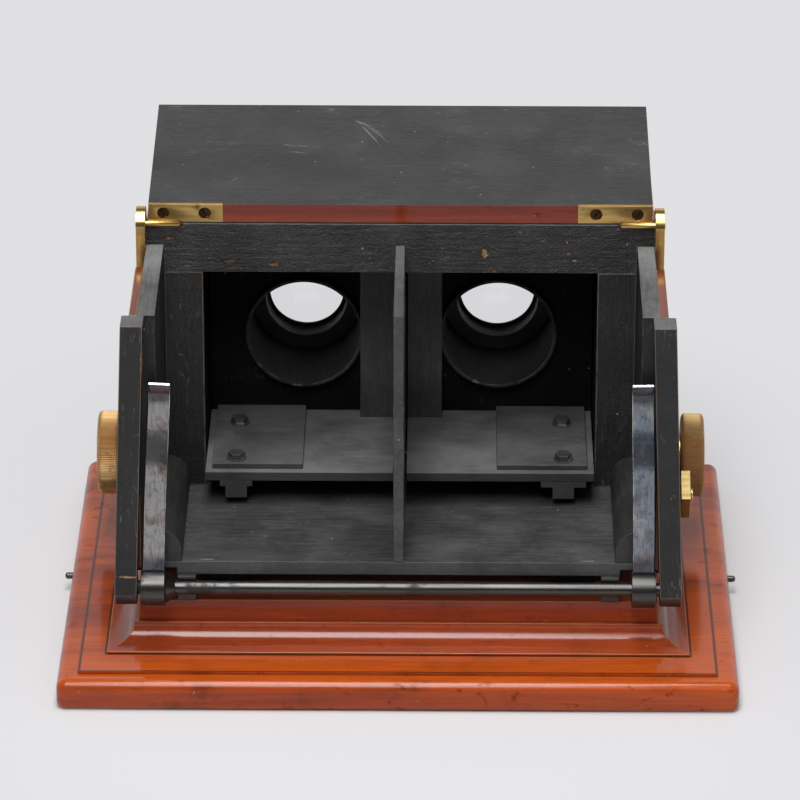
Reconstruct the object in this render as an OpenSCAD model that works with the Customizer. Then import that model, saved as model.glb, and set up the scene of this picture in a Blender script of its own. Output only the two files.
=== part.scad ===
// Table stereoscope with rack focusing, seen from its card end.
// Millimetres, Z up. The origin is the centre of the underside of the base,
// the card end looks along -Y and the eyepieces look along +Y.
// Mirrored pieces are named _l on the -X side and _r on the +X side.

/* [Base] */
// Width of the base board
base_w = 240; // [225:1:270]
// Depth of the base board
base_d = 188; // [176:1:220]
// Thickness of the base board
base_t = 11; // [10:0.5:14]
// Radius of the upper edge and of the corners of the base board
base_edge_r = 3.5; // [3:0.5:5.5]
// Radius of the lower edge of the base board
base_foot_r = 2.5; // [1:0.5:3]
// Border between the side of the base board and its raised step
step_side = 7.5; // [6:0.5:8.5]
// Border between the front of the base board and its raised step
step_front = 7.2; // [6:0.2:9]
// Height of the raised step
step_h = 1; // [0.5:0.1:2]
// Width over the cove moulding
moulding_w = 206.4; // [200:0.2:208]
// Depth over the cove moulding
moulding_d = 146.2; // [136:0.2:156]
// Width of the cove moulding's section
moulding_run = 11; // [8:0.2:12]
// Height of the cove moulding's section
moulding_h = 8; // [4:0.1:10]
// Height of the riser board above the step
riser_h = 16; // [12:0.5:20]
// Diameter of the catch pins in the sides of the base
catch_pin_d = 2.4; // [1.6:0.1:4]
// Length of catch pin that stands out of the base
catch_pin_out = 3; // [2:0.5:6]
// Depth of the catch pin in the base
catch_pin_in = 9; // [6:0.5:14]
// Place of the catch pins behind the centre of the base
catch_pin_y = 3; // [-20:1:20]

/* [Box] */
// Distance of the card end from the centre of the base
card_end = 64; // [62:1:68]
// Length of the box from card end to eye end
box_len = 128; // [124:1:136]
// Width between the side walls
box_in_w = 169; // [166:0.2:176]
// Height of the side walls at the card end
wall_h = 99.5; // [94:0.5:106]
// Thickness of the side walls
wall_t = 6.2; // [5:0.1:8]
// Thickness of the polished cheeks outside the side walls
cheek_t = 2.8; // [2:0.1:4]
// Length of the tall part of the cheeks
cheek_len = 48; // [40:1:54]
// Drop of the cheeks behind their tall part
cheek_drop = 12; // [8:0.5:20]
// Radius at the end of the cheeks' tall part
cheek_r = 6; // [3:0.5:8]
// Thickness of the floor
floor_t = 5.1; // [4.6:0.1:7]
// Height of the bearers between riser and floor
bearer_h = 11; // [9:0.5:15]
// Width of a bearer
bearer_w = 16; // [8:1:30]
// Distance of a bearer's middle from the centre line
bearer_x = 62; // [40:1:72]
// Thickness of the septum between the two halves
septum_t = 3.6; // [2.4:0.1:3.8]
// Distance of the top rail from the card end
rail_place = 64; // [60:1:70]
// Thickness of the top rail
rail_t = 5.2; // [4.5:0.1:8]
// Height of the top rail above the side walls
rail_rise = 8.2; // [8.2:0.1:12]
// Drop of the top rail below the top of the side walls
rail_drop = 10.4; // [6:0.2:14]
// Thickness of the top board
top_board_t = 5.2; // [4:0.1:6]
// Thickness of the panels beside the lens chamber
panel_t = 2.5; // [2:0.1:4]
// Width of the lens chamber
chamber_w = 141.2; // [140:0.2:146]
// Thickness of the walls of the lens chamber
chamber_wall_t = 4.2; // [3:0.1:5]
// Width of the ledge that guides a lens carriage
ledge_w = 3.2; // [2.5:0.1:5]
// Thickness of the eye board
eye_board_t = 5.2; // [4:0.1:7]
// Width of the rounded blocks along the floor
block_w = 8; // [6:0.5:9]
// Height of the rounded blocks along the floor
block_h = 12; // [9:0.5:16]

/* [Posts] */
// Width of a post, seen from the card end
post_w = 7.8; // [6:0.2:9]
// Depth of a post
post_d = 9.9; // [9:0.1:12]
// Height of the foot of a post below the top of the riser's bearers
post_foot = 4; // [3:0.5:5]
// Distance between the posts at their tops
post_gap_top = 176.4; // [175:0.2:180]
// Outward lean of a post over its whole height
post_splay = 4; // [0:0.2:5]

/* [Lid] */
// Width of the lid
lid_w = 179.4; // [176:0.2:180]
// Length of the lid from its hinge
lid_len = 79; // [72:0.5:84]
// Thickness of the lid
lid_t = 7; // [5.5:0.1:7.2]
// Angle by which the lid stands open
lid_open = 174.4; // [90:0.2:176]
// Diameter of the hinge pivots
pivot_d = 2.4; // [2:0.1:3.2]
// Length of pivot that lies along the lid
pivot_len = 11; // [6:0.5:16]
// Length of a hinge strap
strap_len = 26.5; // [22:0.5:40]
// Thickness of a hinge strap
strap_t = 1.2; // [0.8:0.1:2]
// Diameter of the hinge screws' heads
screw_head_d = 4.4; // [3:0.1:5]
// Thickness of a hinge cheek
hinge_cheek_t = 3.3; // [2.5:0.1:4.5]
// Width of a hinge cheek
hinge_cheek_w = 12.6; // [10:0.2:16]
// Length of a hinge cheek below its pivot
hinge_cheek_len = 35; // [28:0.5:44]

/* [Card clip] */
// Diameter of the clip rod
rod_d = 5; // [4:0.1:6]
// Distance of the rod's axis from the card end
rod_out = 3.3; // [3:0.1:3.7]
// Height of the rod's axis above the riser
rod_up = 7.4; // [7.2:0.1:9]
// Diameter of the clip collars
collar_d = 12.9; // [11:0.1:13.5]
// Length of a clip collar
collar_len = 8.4; // [8:0.1:9]
// Distance of a collar's middle from the centre line
collar_x = 86.6; // [86.2:0.1:87]
// Length of the turned nose on the left collar
nose_len = 3.6; // [2:0.2:4.5]
// Diameter of the rod bushes
bush_d = 12; // [10:0.1:12.6]
// Length of a rod bush
bush_len = 7.6; // [6:0.2:9]
// Width of a clip spring
spring_w = 7.6; // [6:0.1:7.8]
// Thickness of a clip spring
spring_t = 0.9; // [0.6:0.1:1.2]
// Height of a clip spring above the rod's axis
spring_h = 80; // [70:1:86]
// Bow of a clip spring away from the card
spring_bow = 4.5; // [2:0.5:8]
// Inward offset of the left spring's tip
spring_in_l = 3.6; // [1.6:0.2:5]
// Inward offset of the right spring's tip
spring_in_r = 1.6; // [1.6:0.2:5]
// Width of a rod saddle
saddle_w = 6.4; // [4:0.2:7]
// Depth of a saddle behind the clip rod
saddle_depth = 9; // [7:0.5:12]

/* [Lens carriages] */
// Distance between the lens axes
lens_spacing = 71; // [68:0.5:72]
// Height of the lens axes above the floor
lens_h = 45.4; // [43:0.2:48]
// Outer diameter of a lens tube
tube_d = 42.6; // [40:0.2:44]
// Thickness of a lens tube's wall
tube_t = 1; // [0.8:0.1:1.6]
// Length of a lens tube
tube_len = 44; // [43:0.5:48]
// Distance of a tube's inner rim behind the top rail's face
tube_place = 34; // [33:0.5:35]
// Clear diameter of a lens
lens_clear_d = 27; // [22:0.5:29]
// Diameter of a lens
lens_d = 30; // [29.5:0.1:32]
// Thickness of a lens at its middle
lens_t = 5; // [4:0.2:6]
// Length of a lens cell
cell_len = 10.7; // [9:0.1:11]
// Length of an eyecup
cup_len = 12; // [9:0.5:14]
// Outer diameter of an eyecup's lip
cup_d = 50; // [46:0.5:54]
// Width of a carriage plate
plate_w = 67.6; // [66:0.1:68]
// Length of a carriage plate
plate_len = 59; // [57:0.5:60]
// Thickness of a carriage plate
plate_t = 3.3; // [2.5:0.1:4]
// Distance of the plate's end in front of the top rail's face
plate_out = 17; // [15:0.5:18]
// Thickness of a doubler
doubler_t = 2; // [1.5:0.1:3]
// Width of a doubler
doubler_w = 32.6; // [26:0.2:33]
// Thickness of a lens board
lens_board_t = 4; // [3:0.1:5]
// Width of a light blind
blind_w = 12.6; // [8:0.2:13]
// Thickness of a light blind
blind_t = 2; // [1.2:0.1:3]
// Diameter of the carriage bolts
bolt_d = 3; // [2:0.1:4]
// Width across the flats of the bolts' heads
bolt_head_w = 5.4; // [4.5:0.1:7]
// Distance between the two bolts of a carriage
bolt_pitch = 31; // [26:0.5:34]

/* [Focusing] */
// Module of the rack and pinion teeth
gear_module = 0.6; // [0.55:0.01:0.62]
// Number of teeth of a pinion
pinion_teeth = 10; // [10:1:11]
// Number of teeth of a rack, even so that a gap meets the pinion's top tooth
rack_teeth = 14; // [12:2:14]
// Pressure angle of the teeth
pressure_angle = 25; // [23:0.5:27]
// Backlash measured along the rack
backlash = 0.14; // [0.1:0.02:0.2]
// Width of a rack and its pinion
rack_w = 7.7; // [6:0.1:9]
// Width of the flange of the left rack
flange_w_l = 11.6; // [9:0.2:16]
// Width of the flange of the right rack
flange_w_r = 16.2; // [9:0.2:17]
// Thickness of the flange of a rack
flange_t = 2.2; // [1.4:0.1:2.6]
// Distance of a rack's middle from the centre line
rack_x = 59; // [57:0.2:60]
// Diameter of the focus shaft
shaft_d = 3; // [2.4:0.1:3.4]
// Distance of the focus shaft behind the top rail's face
shaft_place = 26.9; // [25:0.1:29]
// Height of the focus shaft above the floor
shaft_up = 0.4; // [0:0.1:0.8]
// Diameter of a focus knob
knob_d = 30.6; // [26:0.2:34]
// Thickness of a focus knob
knob_t = 8.2; // [6:0.2:10]
// Number of ribs round a focus knob
knob_ribs = 90; // [60:1:110]
// Length of a shaft bush outside the cheek
shaft_bush_len = 9.2; // [6:0.2:12]
// Diameter of a shaft bush
shaft_bush_d = 16.4; // [10:0.2:20]
// Width of the square clamp nut
clamp_w = 12.4; // [9:0.2:14]
// Diameter of the clamp's stud
stud_d = 4; // [3:0.2:5]
// Thickness of the clamp nut
clamp_t = 3.4; // [2.5:0.1:5]
// Distance of the clamp from the card end
clamp_place = 44; // [36:1:50]
// Height of the clamp above the floor
clamp_up = 6.4; // [6:0.2:12]

/* [Hidden] */
$fn = 64;
// Clearances: round running fit, sliding faces, fitted faces
run = 0.05;
slide = 0.3;
fit = 0.05;

step_top = base_t + step_h;
riser_top = step_top + riser_h;
riser_w = moulding_w - 2 * moulding_run;
riser_d = moulding_d - 2 * moulding_run;

rear_y = -card_end;
eye_y = rear_y + box_len;
floor_z = riser_top + bearer_h;
floor_top = floor_z + floor_t;
wall_top = floor_z + wall_h;
wall_in = box_in_w / 2;
wall_out = wall_in + wall_t;
cheek_out = wall_out + cheek_t;
rail_y = rear_y + rail_place;
rail_back = rail_y + rail_t;
rail_top = wall_top + rail_rise;
rail_foot = wall_top - rail_drop;
board_z = rail_top - top_board_t;
chamber_in = chamber_w / 2;
chamber_out = chamber_in + chamber_wall_t;
eye_board_y = eye_y - eye_board_t;

hinge_y = rail_y - 0.2;
hinge_z = rail_top;
lid_edge_y = rail_y - 0.6;
lid_top = rail_top - 0.6;
pivot_in = lid_w / 2 - pivot_len;
pivot_out = wall_out + hinge_cheek_t + 0.4;
hinge_screw_x = [lid_w / 2 - 5.3, lid_w / 2 - 20];
hinge_screw_len = 9;
cheek_screw_len = hinge_cheek_t + wall_t / 2;
cheek_screw_up = [hinge_cheek_w * 0.4, hinge_cheek_len * 0.46];

rod_y = rear_y - rod_out;
rod_z = riser_top + rod_up;
collar_r = collar_d / 2;
swing_r = collar_r + 0.5;
bush_in = collar_x + collar_len / 2 + 1.4;
post_bottom = riser_top + bearer_h - post_foot;

lens_x = lens_spacing / 2;
lens_z = floor_top + lens_h;
tube_y = rail_y + tube_place;
tube_end = tube_y + tube_len;
tube_r = tube_d / 2;
cell_y = tube_end - cell_len;
plate_in = septum_t / 2 + 0.6;
plate_y = rail_y - plate_out;
plate_end = plate_y + plate_len;
shaft_y = rail_y + shaft_place;
shaft_z = floor_top + shaft_up;
pitch_r = gear_module * pinion_teeth / 2;
tooth_add = gear_module * 5 / 6;
tooth_ded = tooth_add + 0.15;
rack_pitch = PI * gear_module;
rack_tip = shaft_z + pitch_r - tooth_add;
rack_root = shaft_z + pitch_r + tooth_ded;
stem_h = 4.5;
plate_z = rack_tip + stem_h + flange_t;
plate_top = plate_z + plate_t;
doubler_top = plate_top + doubler_t;
lens_board_y = plate_end - lens_board_t;
lens_board_top = board_z - 2 * slide;
bolt_y = plate_y + 8;
clamp_y = rear_y + clamp_place;
clamp_z = floor_top + clamp_up;
knob_in = cheek_out + shaft_bush_len + slide;
seat_r = lens_d / 2 + fit;
lens_seat = tube_end - 1.5;
boss_len = 5.6;
clamp_in = cheek_out + boss_len + 0.2;
spring_foot = rod_d / 2 + 0.9;
spring_bend = spring_h - 9;
spring_card = rod_out - 1.2;

mahogany = "#8d4224";
bare_wood = "#b0672f";
black_paint = "#2b2b2c";
brass = "#b98f45";
steel = "#7d7f86";
iron = "#3a3a3c";

// Points of an arc about c, from angle a to angle b in n steps
function arc(c, r, a, b, n = 8) =
    [for (i = [0:n]) c + r * [cos(a + (b - a) * i / n), sin(a + (b - a) * i / n)]];

// Children on the left side, mirrored, where side is -1
module on_side(side) {
    if (side < 0) mirror([1, 0, 0]) children();
    else children();
}

// Children on both sides
module both_sides() {
    for (side = [-1, 1]) on_side(side) children();
}

// An outline drawn in Y and Z, made solid from x to x + w
module slab_yz(x, w) {
    translate([x, 0, 0]) rotate([90, 0, 90]) linear_extrude(w) children();
}

// A cylinder along X from x to x + w, about the point y, z
module bar_x(x, w, y, z, r) {
    translate([x, y, z]) rotate([0, 90, 0]) cylinder(h = w, r = r);
}

// A cylinder along Y from y to y + w, about the point x, z
module bar_y(y, w, x, z, r) {
    translate([x, y, z]) rotate([-90, 0, 0]) cylinder(h = w, r = r);
}

// Section of the base board's edge: distance in from the edge, height
function base_edge() = concat(
    arc([base_foot_r, base_foot_r], base_foot_r, 270, 180, 5),
    arc([base_edge_r, base_t - base_edge_r], base_edge_r, 180, 90, 10),
    [[base_edge_r, 0]]);

module base_side(len) {
    rotate([90, 0, 90]) linear_extrude(len, center = true) polygon(base_edge());
}

module base_corner() {
    rotate_extrude(angle = 90)
        polygon([for (p = base_edge()) [base_edge_r - p[0], p[1]]]);
}

module base_board() {
    w = base_w - 2 * base_edge_r;
    d = base_d - 2 * base_edge_r;
    color(mahogany) difference() {
        union() {
            translate([-w / 2, -d / 2, 0]) cube([w, d, base_t]);
            for (turn = [0, 180]) rotate(turn) {
                translate([0, -base_d / 2, 0]) base_side(w);
                rotate(90) translate([0, -base_w / 2, 0]) base_side(d);
                translate([w / 2, d / 2, 0]) base_corner();
                translate([-w / 2, d / 2, 0]) rotate(90) base_corner();
            }
            translate([-base_w / 2 + step_side, -base_d / 2 + step_front, base_t / 2])
                cube([base_w - 2 * step_side, base_d - 2 * step_front, base_t / 2 + step_h]);
        }
        both_sides()
            bar_x(base_w / 2 - catch_pin_in - fit, catch_pin_in + 1, catch_pin_y, base_t / 2,
                catch_pin_d / 2 - 0.2 + fit);
    }
}

// Section of the moulding: distance out from the riser, height
function cove() = concat(
    [[0, 0], [moulding_run, 0], [moulding_run, 0.8]],
    [for (p = arc([moulding_run, moulding_h - 0.7], moulding_h - 1.5, 270, 180, 10))
        [moulding_run - (moulding_run - p[0]) * (moulding_run - 1.6) / (moulding_h - 1.5), p[1]]],
    [[1.6, moulding_h], [0, moulding_h]]);

// One moulding strip along -Y of a frame w by d, with its ends mitred
module moulding_strip(w, d) {
    a = w / 2;
    b = d / 2;
    m = moulding_run;
    intersection() {
        translate([0, -b + m, 0]) rotate([90, 0, 90]) linear_extrude(w, center = true)
            polygon([for (p = cove()) [-p[0], p[1]]]);
        linear_extrude(moulding_h) polygon([[-a, -b], [a, -b], [a - m, m - b], [m - a, m - b]]);
    }
}

module base_moulding() {
    color(mahogany) translate([0, 0, step_top]) for (turn = [0, 180]) rotate(turn) {
        moulding_strip(moulding_w, moulding_d);
        rotate(90) moulding_strip(moulding_d, moulding_w);
    }
}

module base_riser() {
    color(mahogany) translate([-riser_w / 2, -riser_d / 2, step_top])
        cube([riser_w, riser_d, riser_h]);
}

module catch_pins() {
    r = catch_pin_d / 2;
    color(steel) both_sides() {
        bar_x(base_w / 2 - catch_pin_in, catch_pin_in + 1, catch_pin_y, base_t / 2, r - 0.2);
        bar_x(base_w / 2, catch_pin_out - r / 2, catch_pin_y, base_t / 2, r);
        translate([base_w / 2 + catch_pin_out - r / 2, catch_pin_y, base_t / 2])
            rotate([0, 90, 0]) cylinder(h = r / 2, r1 = r, r2 = r * 0.6);
    }
}

module bearers() {
    color(black_paint) both_sides()
        translate([bearer_x - bearer_w / 2, rear_y + 12, riser_top])
            cube([bearer_w, min(box_len - 24, riser_d / 2 - rear_y - 14), bearer_h]);
}

// Room for the turning collars, cut out of the box's lower rear edge
module collar_room(from) {
    bar_x(from, cheek_out + 10 - from, rod_y, rod_z, swing_r);
}

module floor_board() {
    color(black_paint) difference() {
        translate([-wall_in, rear_y, floor_z]) cube([box_in_w, box_len, floor_t]);
        both_sides() collar_room(collar_x - collar_len / 2 - nose_len - 0.5);
        translate([-wall_in - 1, shaft_y - shaft_d / 2 - slide, shaft_z])
            cube([box_in_w + 2, shaft_d + 2 * slide, floor_t]);
        bar_x(-wall_in - 1, box_in_w + 2, shaft_y, shaft_z, shaft_d / 2 + slide);
        both_sides()
            bar_x(rack_x - rack_w / 2 - slide, rack_w + 2 * slide, shaft_y, shaft_z,
                pitch_r + tooth_add + slide);
    }
}

// Outline of a side wall, low at the card end and high under the top board
module wall_outline() {
    polygon([[rear_y, floor_z], [eye_y, floor_z], [eye_y, board_z],
        [rail_back, board_z], [rail_back, wall_top], [rear_y, wall_top]]);
}

module side_wall(side) {
    color(black_paint) on_side(side) difference() {
        slab_yz(wall_in, wall_t) wall_outline();
        collar_room(wall_in - 1);
        bar_x(wall_in - 1, wall_t + 2, shaft_y, shaft_z, shaft_bush_d / 4 + fit);
        if (side > 0) bar_x(wall_in + 1, wall_t, clamp_y, clamp_z, stud_d / 2 + fit);
        at_cheek_screws() screw(cheek_screw_len, fit);
    }
}

module side_wall_l() { side_wall(-1); }
module side_wall_r() { side_wall(1); }

// Outline of a cheek, with a tall rounded part at the card end
module cheek_outline() {
    step_y = rear_y + cheek_len;
    low = wall_top - cheek_drop;
    polygon(concat([[rear_y, floor_z], [eye_y, floor_z], [eye_y, low], [step_y, low]],
        arc([step_y - cheek_r, wall_top - cheek_r], cheek_r, 0, 90),
        [[rear_y, wall_top]]));
}

module side_cheek(side) {
    color(mahogany) on_side(side) difference() {
        slab_yz(wall_out, cheek_t) cheek_outline();
        collar_room(wall_in - 1);
        translate([wall_out - 1, hinge_y - hinge_cheek_w / 2 - fit, hinge_z - hinge_cheek_len - fit])
            cube([cheek_t + 2, hinge_cheek_w + 2 * fit, hinge_cheek_len]);
        bar_x(wall_out - 1, cheek_t + 2, shaft_y, shaft_z, shaft_bush_d / 4 + fit);
        if (side > 0) bar_x(wall_out - 1, cheek_t + 2, clamp_y, clamp_z, stud_d / 2 + fit);
    }
}

module side_cheek_l() { side_cheek(-1); }
module side_cheek_r() { side_cheek(1); }

module post(side) {
    top_in = post_gap_top / 2;
    low_in = top_in + post_splay;
    color(black_paint) on_side(side) difference() {
        translate([0, rear_y, 0]) rotate([90, 0, 0]) linear_extrude(post_d)
            polygon([[top_in, wall_top], [top_in + post_w, wall_top],
                [low_in + post_w, post_bottom], [low_in, post_bottom]]);
        bar_x(bush_in - 0.4, bush_len + post_w, rod_y, rod_z, bush_d / 2 + fit);
    }
}

module post_l() { post(-1); }
module post_r() { post(1); }

module top_rail() {
    color(black_paint) difference() {
        union() {
            translate([-wall_out, rail_y, wall_top]) cube([2 * wall_out, rail_t, rail_rise]);
            translate([-wall_in, rail_y, rail_foot]) cube([box_in_w, rail_t, rail_drop + 1]);
        }
        translate([-septum_t / 2 - fit, rail_y - 1, rail_foot - 1])
            cube([septum_t + 2 * fit, rail_t + 2, rail_drop + 1 + fit]);
        both_sides() bar_x(pivot_in - 1.2, pivot_len + wall_out, hinge_y, hinge_z,
            pivot_d / 2 + slide);
    }
}

module top_board() {
    color(black_paint) translate([-wall_out, rail_back, board_z])
        cube([2 * wall_out, eye_y - rail_back, top_board_t]);
}

module septum() {
    color(black_paint) difference() {
        slab_yz(-septum_t / 2, septum_t)
            polygon([[rear_y, floor_top], [eye_board_y, floor_top], [eye_board_y, board_z],
                [rail_back, board_z], [rail_back, wall_top], [rear_y, wall_top]]);
        bar_x(-septum_t, 2 * septum_t, shaft_y, shaft_z, shaft_d / 2 + slide);
    }
}

module outer_panels() {
    w = wall_in - chamber_in;
    color(black_paint) both_sides() translate([chamber_in, rail_y, floor_top])
        cube([w, panel_t, rail_foot - floor_top]);
}

// Rounded block along the floor and the side wall
module corner_blocks() {
    x = wall_in - block_w;
    r = block_w - 0.4;
    y = rear_y;
    color(black_paint) both_sides() difference() {
        translate([0, rail_y, 0]) rotate([90, 0, 0]) linear_extrude(rail_y - y)
            polygon(concat([[wall_in, floor_top], [x, floor_top]],
                arc([x + r, floor_top + block_h - r], r, 180, 90), [[wall_in, floor_top + block_h]]));
        collar_room(x - 1);
    }
}

module chamber_walls() {
    color(black_paint) both_sides() difference() {
        union() {
            translate([chamber_in, rail_y + panel_t, floor_top])
                cube([chamber_wall_t, eye_board_y - rail_y - panel_t, board_z - floor_top]);
            translate([chamber_in - ledge_w, rail_y + panel_t, floor_top])
                cube([ledge_w + 1, eye_board_y - rail_y - panel_t, plate_z - slide - floor_top]);
        }
        bar_x(chamber_in - ledge_w - 1, ledge_w + chamber_wall_t + 2, shaft_y, shaft_z,
            shaft_d / 2 + slide);
        translate([chamber_in - 1, rail_y, rail_foot])
            cube([chamber_wall_t + 2, rail_t, board_z - rail_foot + 1]);
    }
}

module eye_board() {
    color(black_paint) difference() {
        translate([-wall_in, eye_board_y, floor_top])
            cube([box_in_w, eye_board_t, board_z - floor_top]);
        both_sides() bar_y(eye_board_y - 1, eye_board_t + 2, lens_x, lens_z, tube_r + slide);
    }
}

// Children at the two bolts of a carriage
module at_bolts() {
    for (y = [bolt_y, bolt_y + bolt_pitch]) translate([rack_x, y, 0]) children();
}

module carriage_plate(side) {
    color(iron) on_side(side) difference() {
        translate([plate_in, plate_y, plate_z]) cube([plate_w, plate_len, plate_t]);
        at_bolts() translate([0, 0, plate_z - 1]) cylinder(h = plate_t + 2, d = bolt_d + 2 * fit);
    }
}

module carriage_plate_l() { carriage_plate(-1); }
module carriage_plate_r() { carriage_plate(1); }

module doubler(side) {
    x = plate_in + plate_w - 2.4 - doubler_w;
    color(iron) on_side(side) difference() {
        translate([x, plate_y + 3, plate_top])
            cube([doubler_w, lens_board_y - plate_y - 3, doubler_t]);
        at_bolts() translate([0, 0, plate_top - 1])
            cylinder(h = doubler_t + 2, d = bolt_d + 2 * fit);
    }
}

module doubler_l() { doubler(-1); }
module doubler_r() { doubler(1); }

// Lower outline of the rack, one tooth after another, along Y
function rack_tooth(y) =
    let (half = (rack_pitch / 2 - backlash) / 2, t = tan(pressure_angle))
    [[y - half - tooth_ded * t, rack_root], [y - half + tooth_add * t, rack_tip],
     [y + half - tooth_add * t, rack_tip], [y + half + tooth_ded * t, rack_root]];

module rack(side, flange_w) {
    first = shaft_y - (rack_teeth - 1) / 2 * rack_pitch;
    last = first + (rack_teeth - 1) * rack_pitch;
    front = plate_y;
    color(iron) on_side(side) difference() {
        union() {
            slab_yz(rack_x - rack_w / 2, rack_w)
                polygon(concat([[front, plate_z], [front, rack_tip], [first - rack_pitch, rack_tip]],
                    [for (i = [0:rack_teeth - 1], p = rack_tooth(first + i * rack_pitch)) p],
                    [[last + rack_pitch / 2, rack_root], [last + rack_pitch / 2, plate_z]]));
            translate([rack_x - flange_w / 2, front, plate_z - flange_t])
                cube([flange_w, last - front, flange_t]);
        }
        translate([rack_x, bolt_y, rack_tip - 1])
            cylinder(h = plate_z - rack_tip + 2, d = bolt_d + 2 * fit);
        translate([rack_x, bolt_y + bolt_pitch, rack_root + 1.2])
            cylinder(h = plate_z - rack_root, d = bolt_d + 2 * fit);
    }
}

module rack_l() { rack(-1, flange_w_l); }
module rack_r() { rack(1, flange_w_r); }

// A bolt with a hexagon head and a washer, its shank down to z = foot
module plate_bolt(foot) {
    translate([0, 0, foot]) cylinder(h = doubler_top + 1 - foot, d = bolt_d);
    translate([0, 0, doubler_top]) cylinder(h = 0.4, d = bolt_head_w + 1.8);
    translate([0, 0, doubler_top + 0.4]) cylinder(h = 2, d = bolt_head_w / cos(30), $fn = 6);
}

module plate_bolts(side) {
    color(iron) on_side(side) {
        translate([rack_x, bolt_y, 0]) plate_bolt(floor_top + 0.7);
        translate([rack_x, bolt_y + bolt_pitch, 0]) plate_bolt(rack_root + 1.3);
    }
}

module plate_bolts_l() { plate_bolts(-1); }
module plate_bolts_r() { plate_bolts(1); }

module lens_board(side) {
    color(iron) on_side(side) difference() {
        translate([plate_in, lens_board_y, plate_top])
            cube([plate_w, lens_board_t, lens_board_top - plate_top]);
        bar_y(lens_board_y - 1, lens_board_t + 2, lens_x, lens_z, tube_r + fit);
    }
}

module lens_board_l() { lens_board(-1); }
module lens_board_r() { lens_board(1); }

// A turned piece round a lens axis: radius and distance along +Y
module turned(side) {
    on_side(side) translate([lens_x, 0, lens_z]) rotate([-90, 0, 0]) rotate_extrude() children();
}

module lens_tube(side) {
    color(iron) turned(side)
        translate([tube_r - tube_t, tube_y]) square([tube_t, tube_len]);
}

module lens_tube_l() { lens_tube(-1); }
module lens_tube_r() { lens_tube(1); }

module lens_cell(side) {
    color(iron) turned(side) polygon([
        [tube_r - tube_t - fit, cell_y], [tube_r - tube_t - fit, tube_end],
        [lens_clear_d / 2, tube_end], [lens_clear_d / 2, lens_seat],
        [seat_r, lens_seat], [seat_r, cell_y]]);
}

module lens_cell_l() { lens_cell(-1); }
module lens_cell_r() { lens_cell(1); }

// Both faces bulge by the same height; the rim touches the seat
module lens(side) {
    r = lens_d / 2;
    rim = 1.2;
    bulge = (lens_t - rim) / 2;
    ball = (r * r + bulge * bulge) / (2 * bulge);
    half = asin(r / ball);
    clear_r = lens_clear_d / 2;
    mid = lens_seat - rim / 2 - sqrt(ball * ball - clear_r * clear_r) + ball - bulge - 0.02;
    color("#dfe8ec", 0.5) turned(side) polygon(concat(
        arc([0, mid - rim / 2 - bulge + ball], ball, 270, 270 + half, 8),
        arc([0, mid + rim / 2 + bulge - ball], ball, 90 - half, 90, 8)));
}

module lens_l() { lens(-1); }
module lens_r() { lens(1); }

module eyecup(side) {
    foot = tube_end - 5;
    lip = foot + cup_len;
    color(iron) turned(side) polygon(concat(
        [[tube_r + fit, foot], [tube_r + 1.4, foot]],
        arc([cup_d / 2 + 5 - 1.4, foot + 2], cup_d / 2 + 5 - 2.8 - tube_r, 180, 134, 6),
        [[cup_d / 2, lip - 1], [cup_d / 2 - 0.6, lip], [cup_d / 2 - 2, lip],
         [tube_r - 1, tube_end + fit], [tube_r + fit, tube_end + fit]]));
}

module eyecup_l() { eyecup(-1); }
module eyecup_r() { eyecup(1); }

module light_blind(side) {
    color(black_paint) on_side(side)
        translate([plate_in, tube_y - slide - blind_t, plate_top])
            cube([blind_w, blind_t, lens_board_top - plate_top]);
}

module light_blind_l() { light_blind(-1); }
module light_blind_r() { light_blind(1); }

module focus_shaft() {
    end = knob_in + knob_t;
    color(steel) bar_x(-end, 2 * end, shaft_y, shaft_z, shaft_d / 2);
}

// Involute of the pressure angle a, in degrees
function involute(a) = tan(a) * 180 / PI - a;

// Half the angle of a pinion tooth at radius r
function half_tooth(r) =
    let (base_r = pitch_r * cos(pressure_angle),
         at_pitch = (rack_pitch / 2 - backlash) / 2 / pitch_r * 180 / PI)
    at_pitch + involute(pressure_angle) - (r > base_r ? involute(acos(base_r / r)) : 0);

// Outline of a pinion with a tooth pointing up
function pinion_outline() =
    let (root_r = pitch_r - tooth_ded, tip_r = pitch_r + tooth_add, n = 5,
         radii = concat([root_r], [for (i = [0:n])
             let (base_r = pitch_r * cos(pressure_angle)) base_r + (tip_r - base_r) * i / n]))
    [for (t = [0:pinion_teeth - 1], s = [-1, 1], i = [0:n + 1])
        let (r = radii[s < 0 ? i : n + 1 - i], a = 90 + t * 360 / pinion_teeth + s * half_tooth(r))
        r * [cos(a), sin(a)]];

module pinions() {
    color(brass) both_sides() difference() {
        translate([0, shaft_y, shaft_z]) slab_yz(rack_x - rack_w / 2 + slide, rack_w - 2 * slide)
            polygon(pinion_outline());
        bar_x(rack_x - rack_w, 2 * rack_w, shaft_y, shaft_z, shaft_d / 2 + fit / 2);
    }
}

// Outline of a ribbed rim of radius r
function ribbed(r) = [for (i = [0:2 * knob_ribs - 1])
    let (a = i * 180 / knob_ribs) (r - (i % 2) * 0.35) * [cos(a), sin(a)]];

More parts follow.
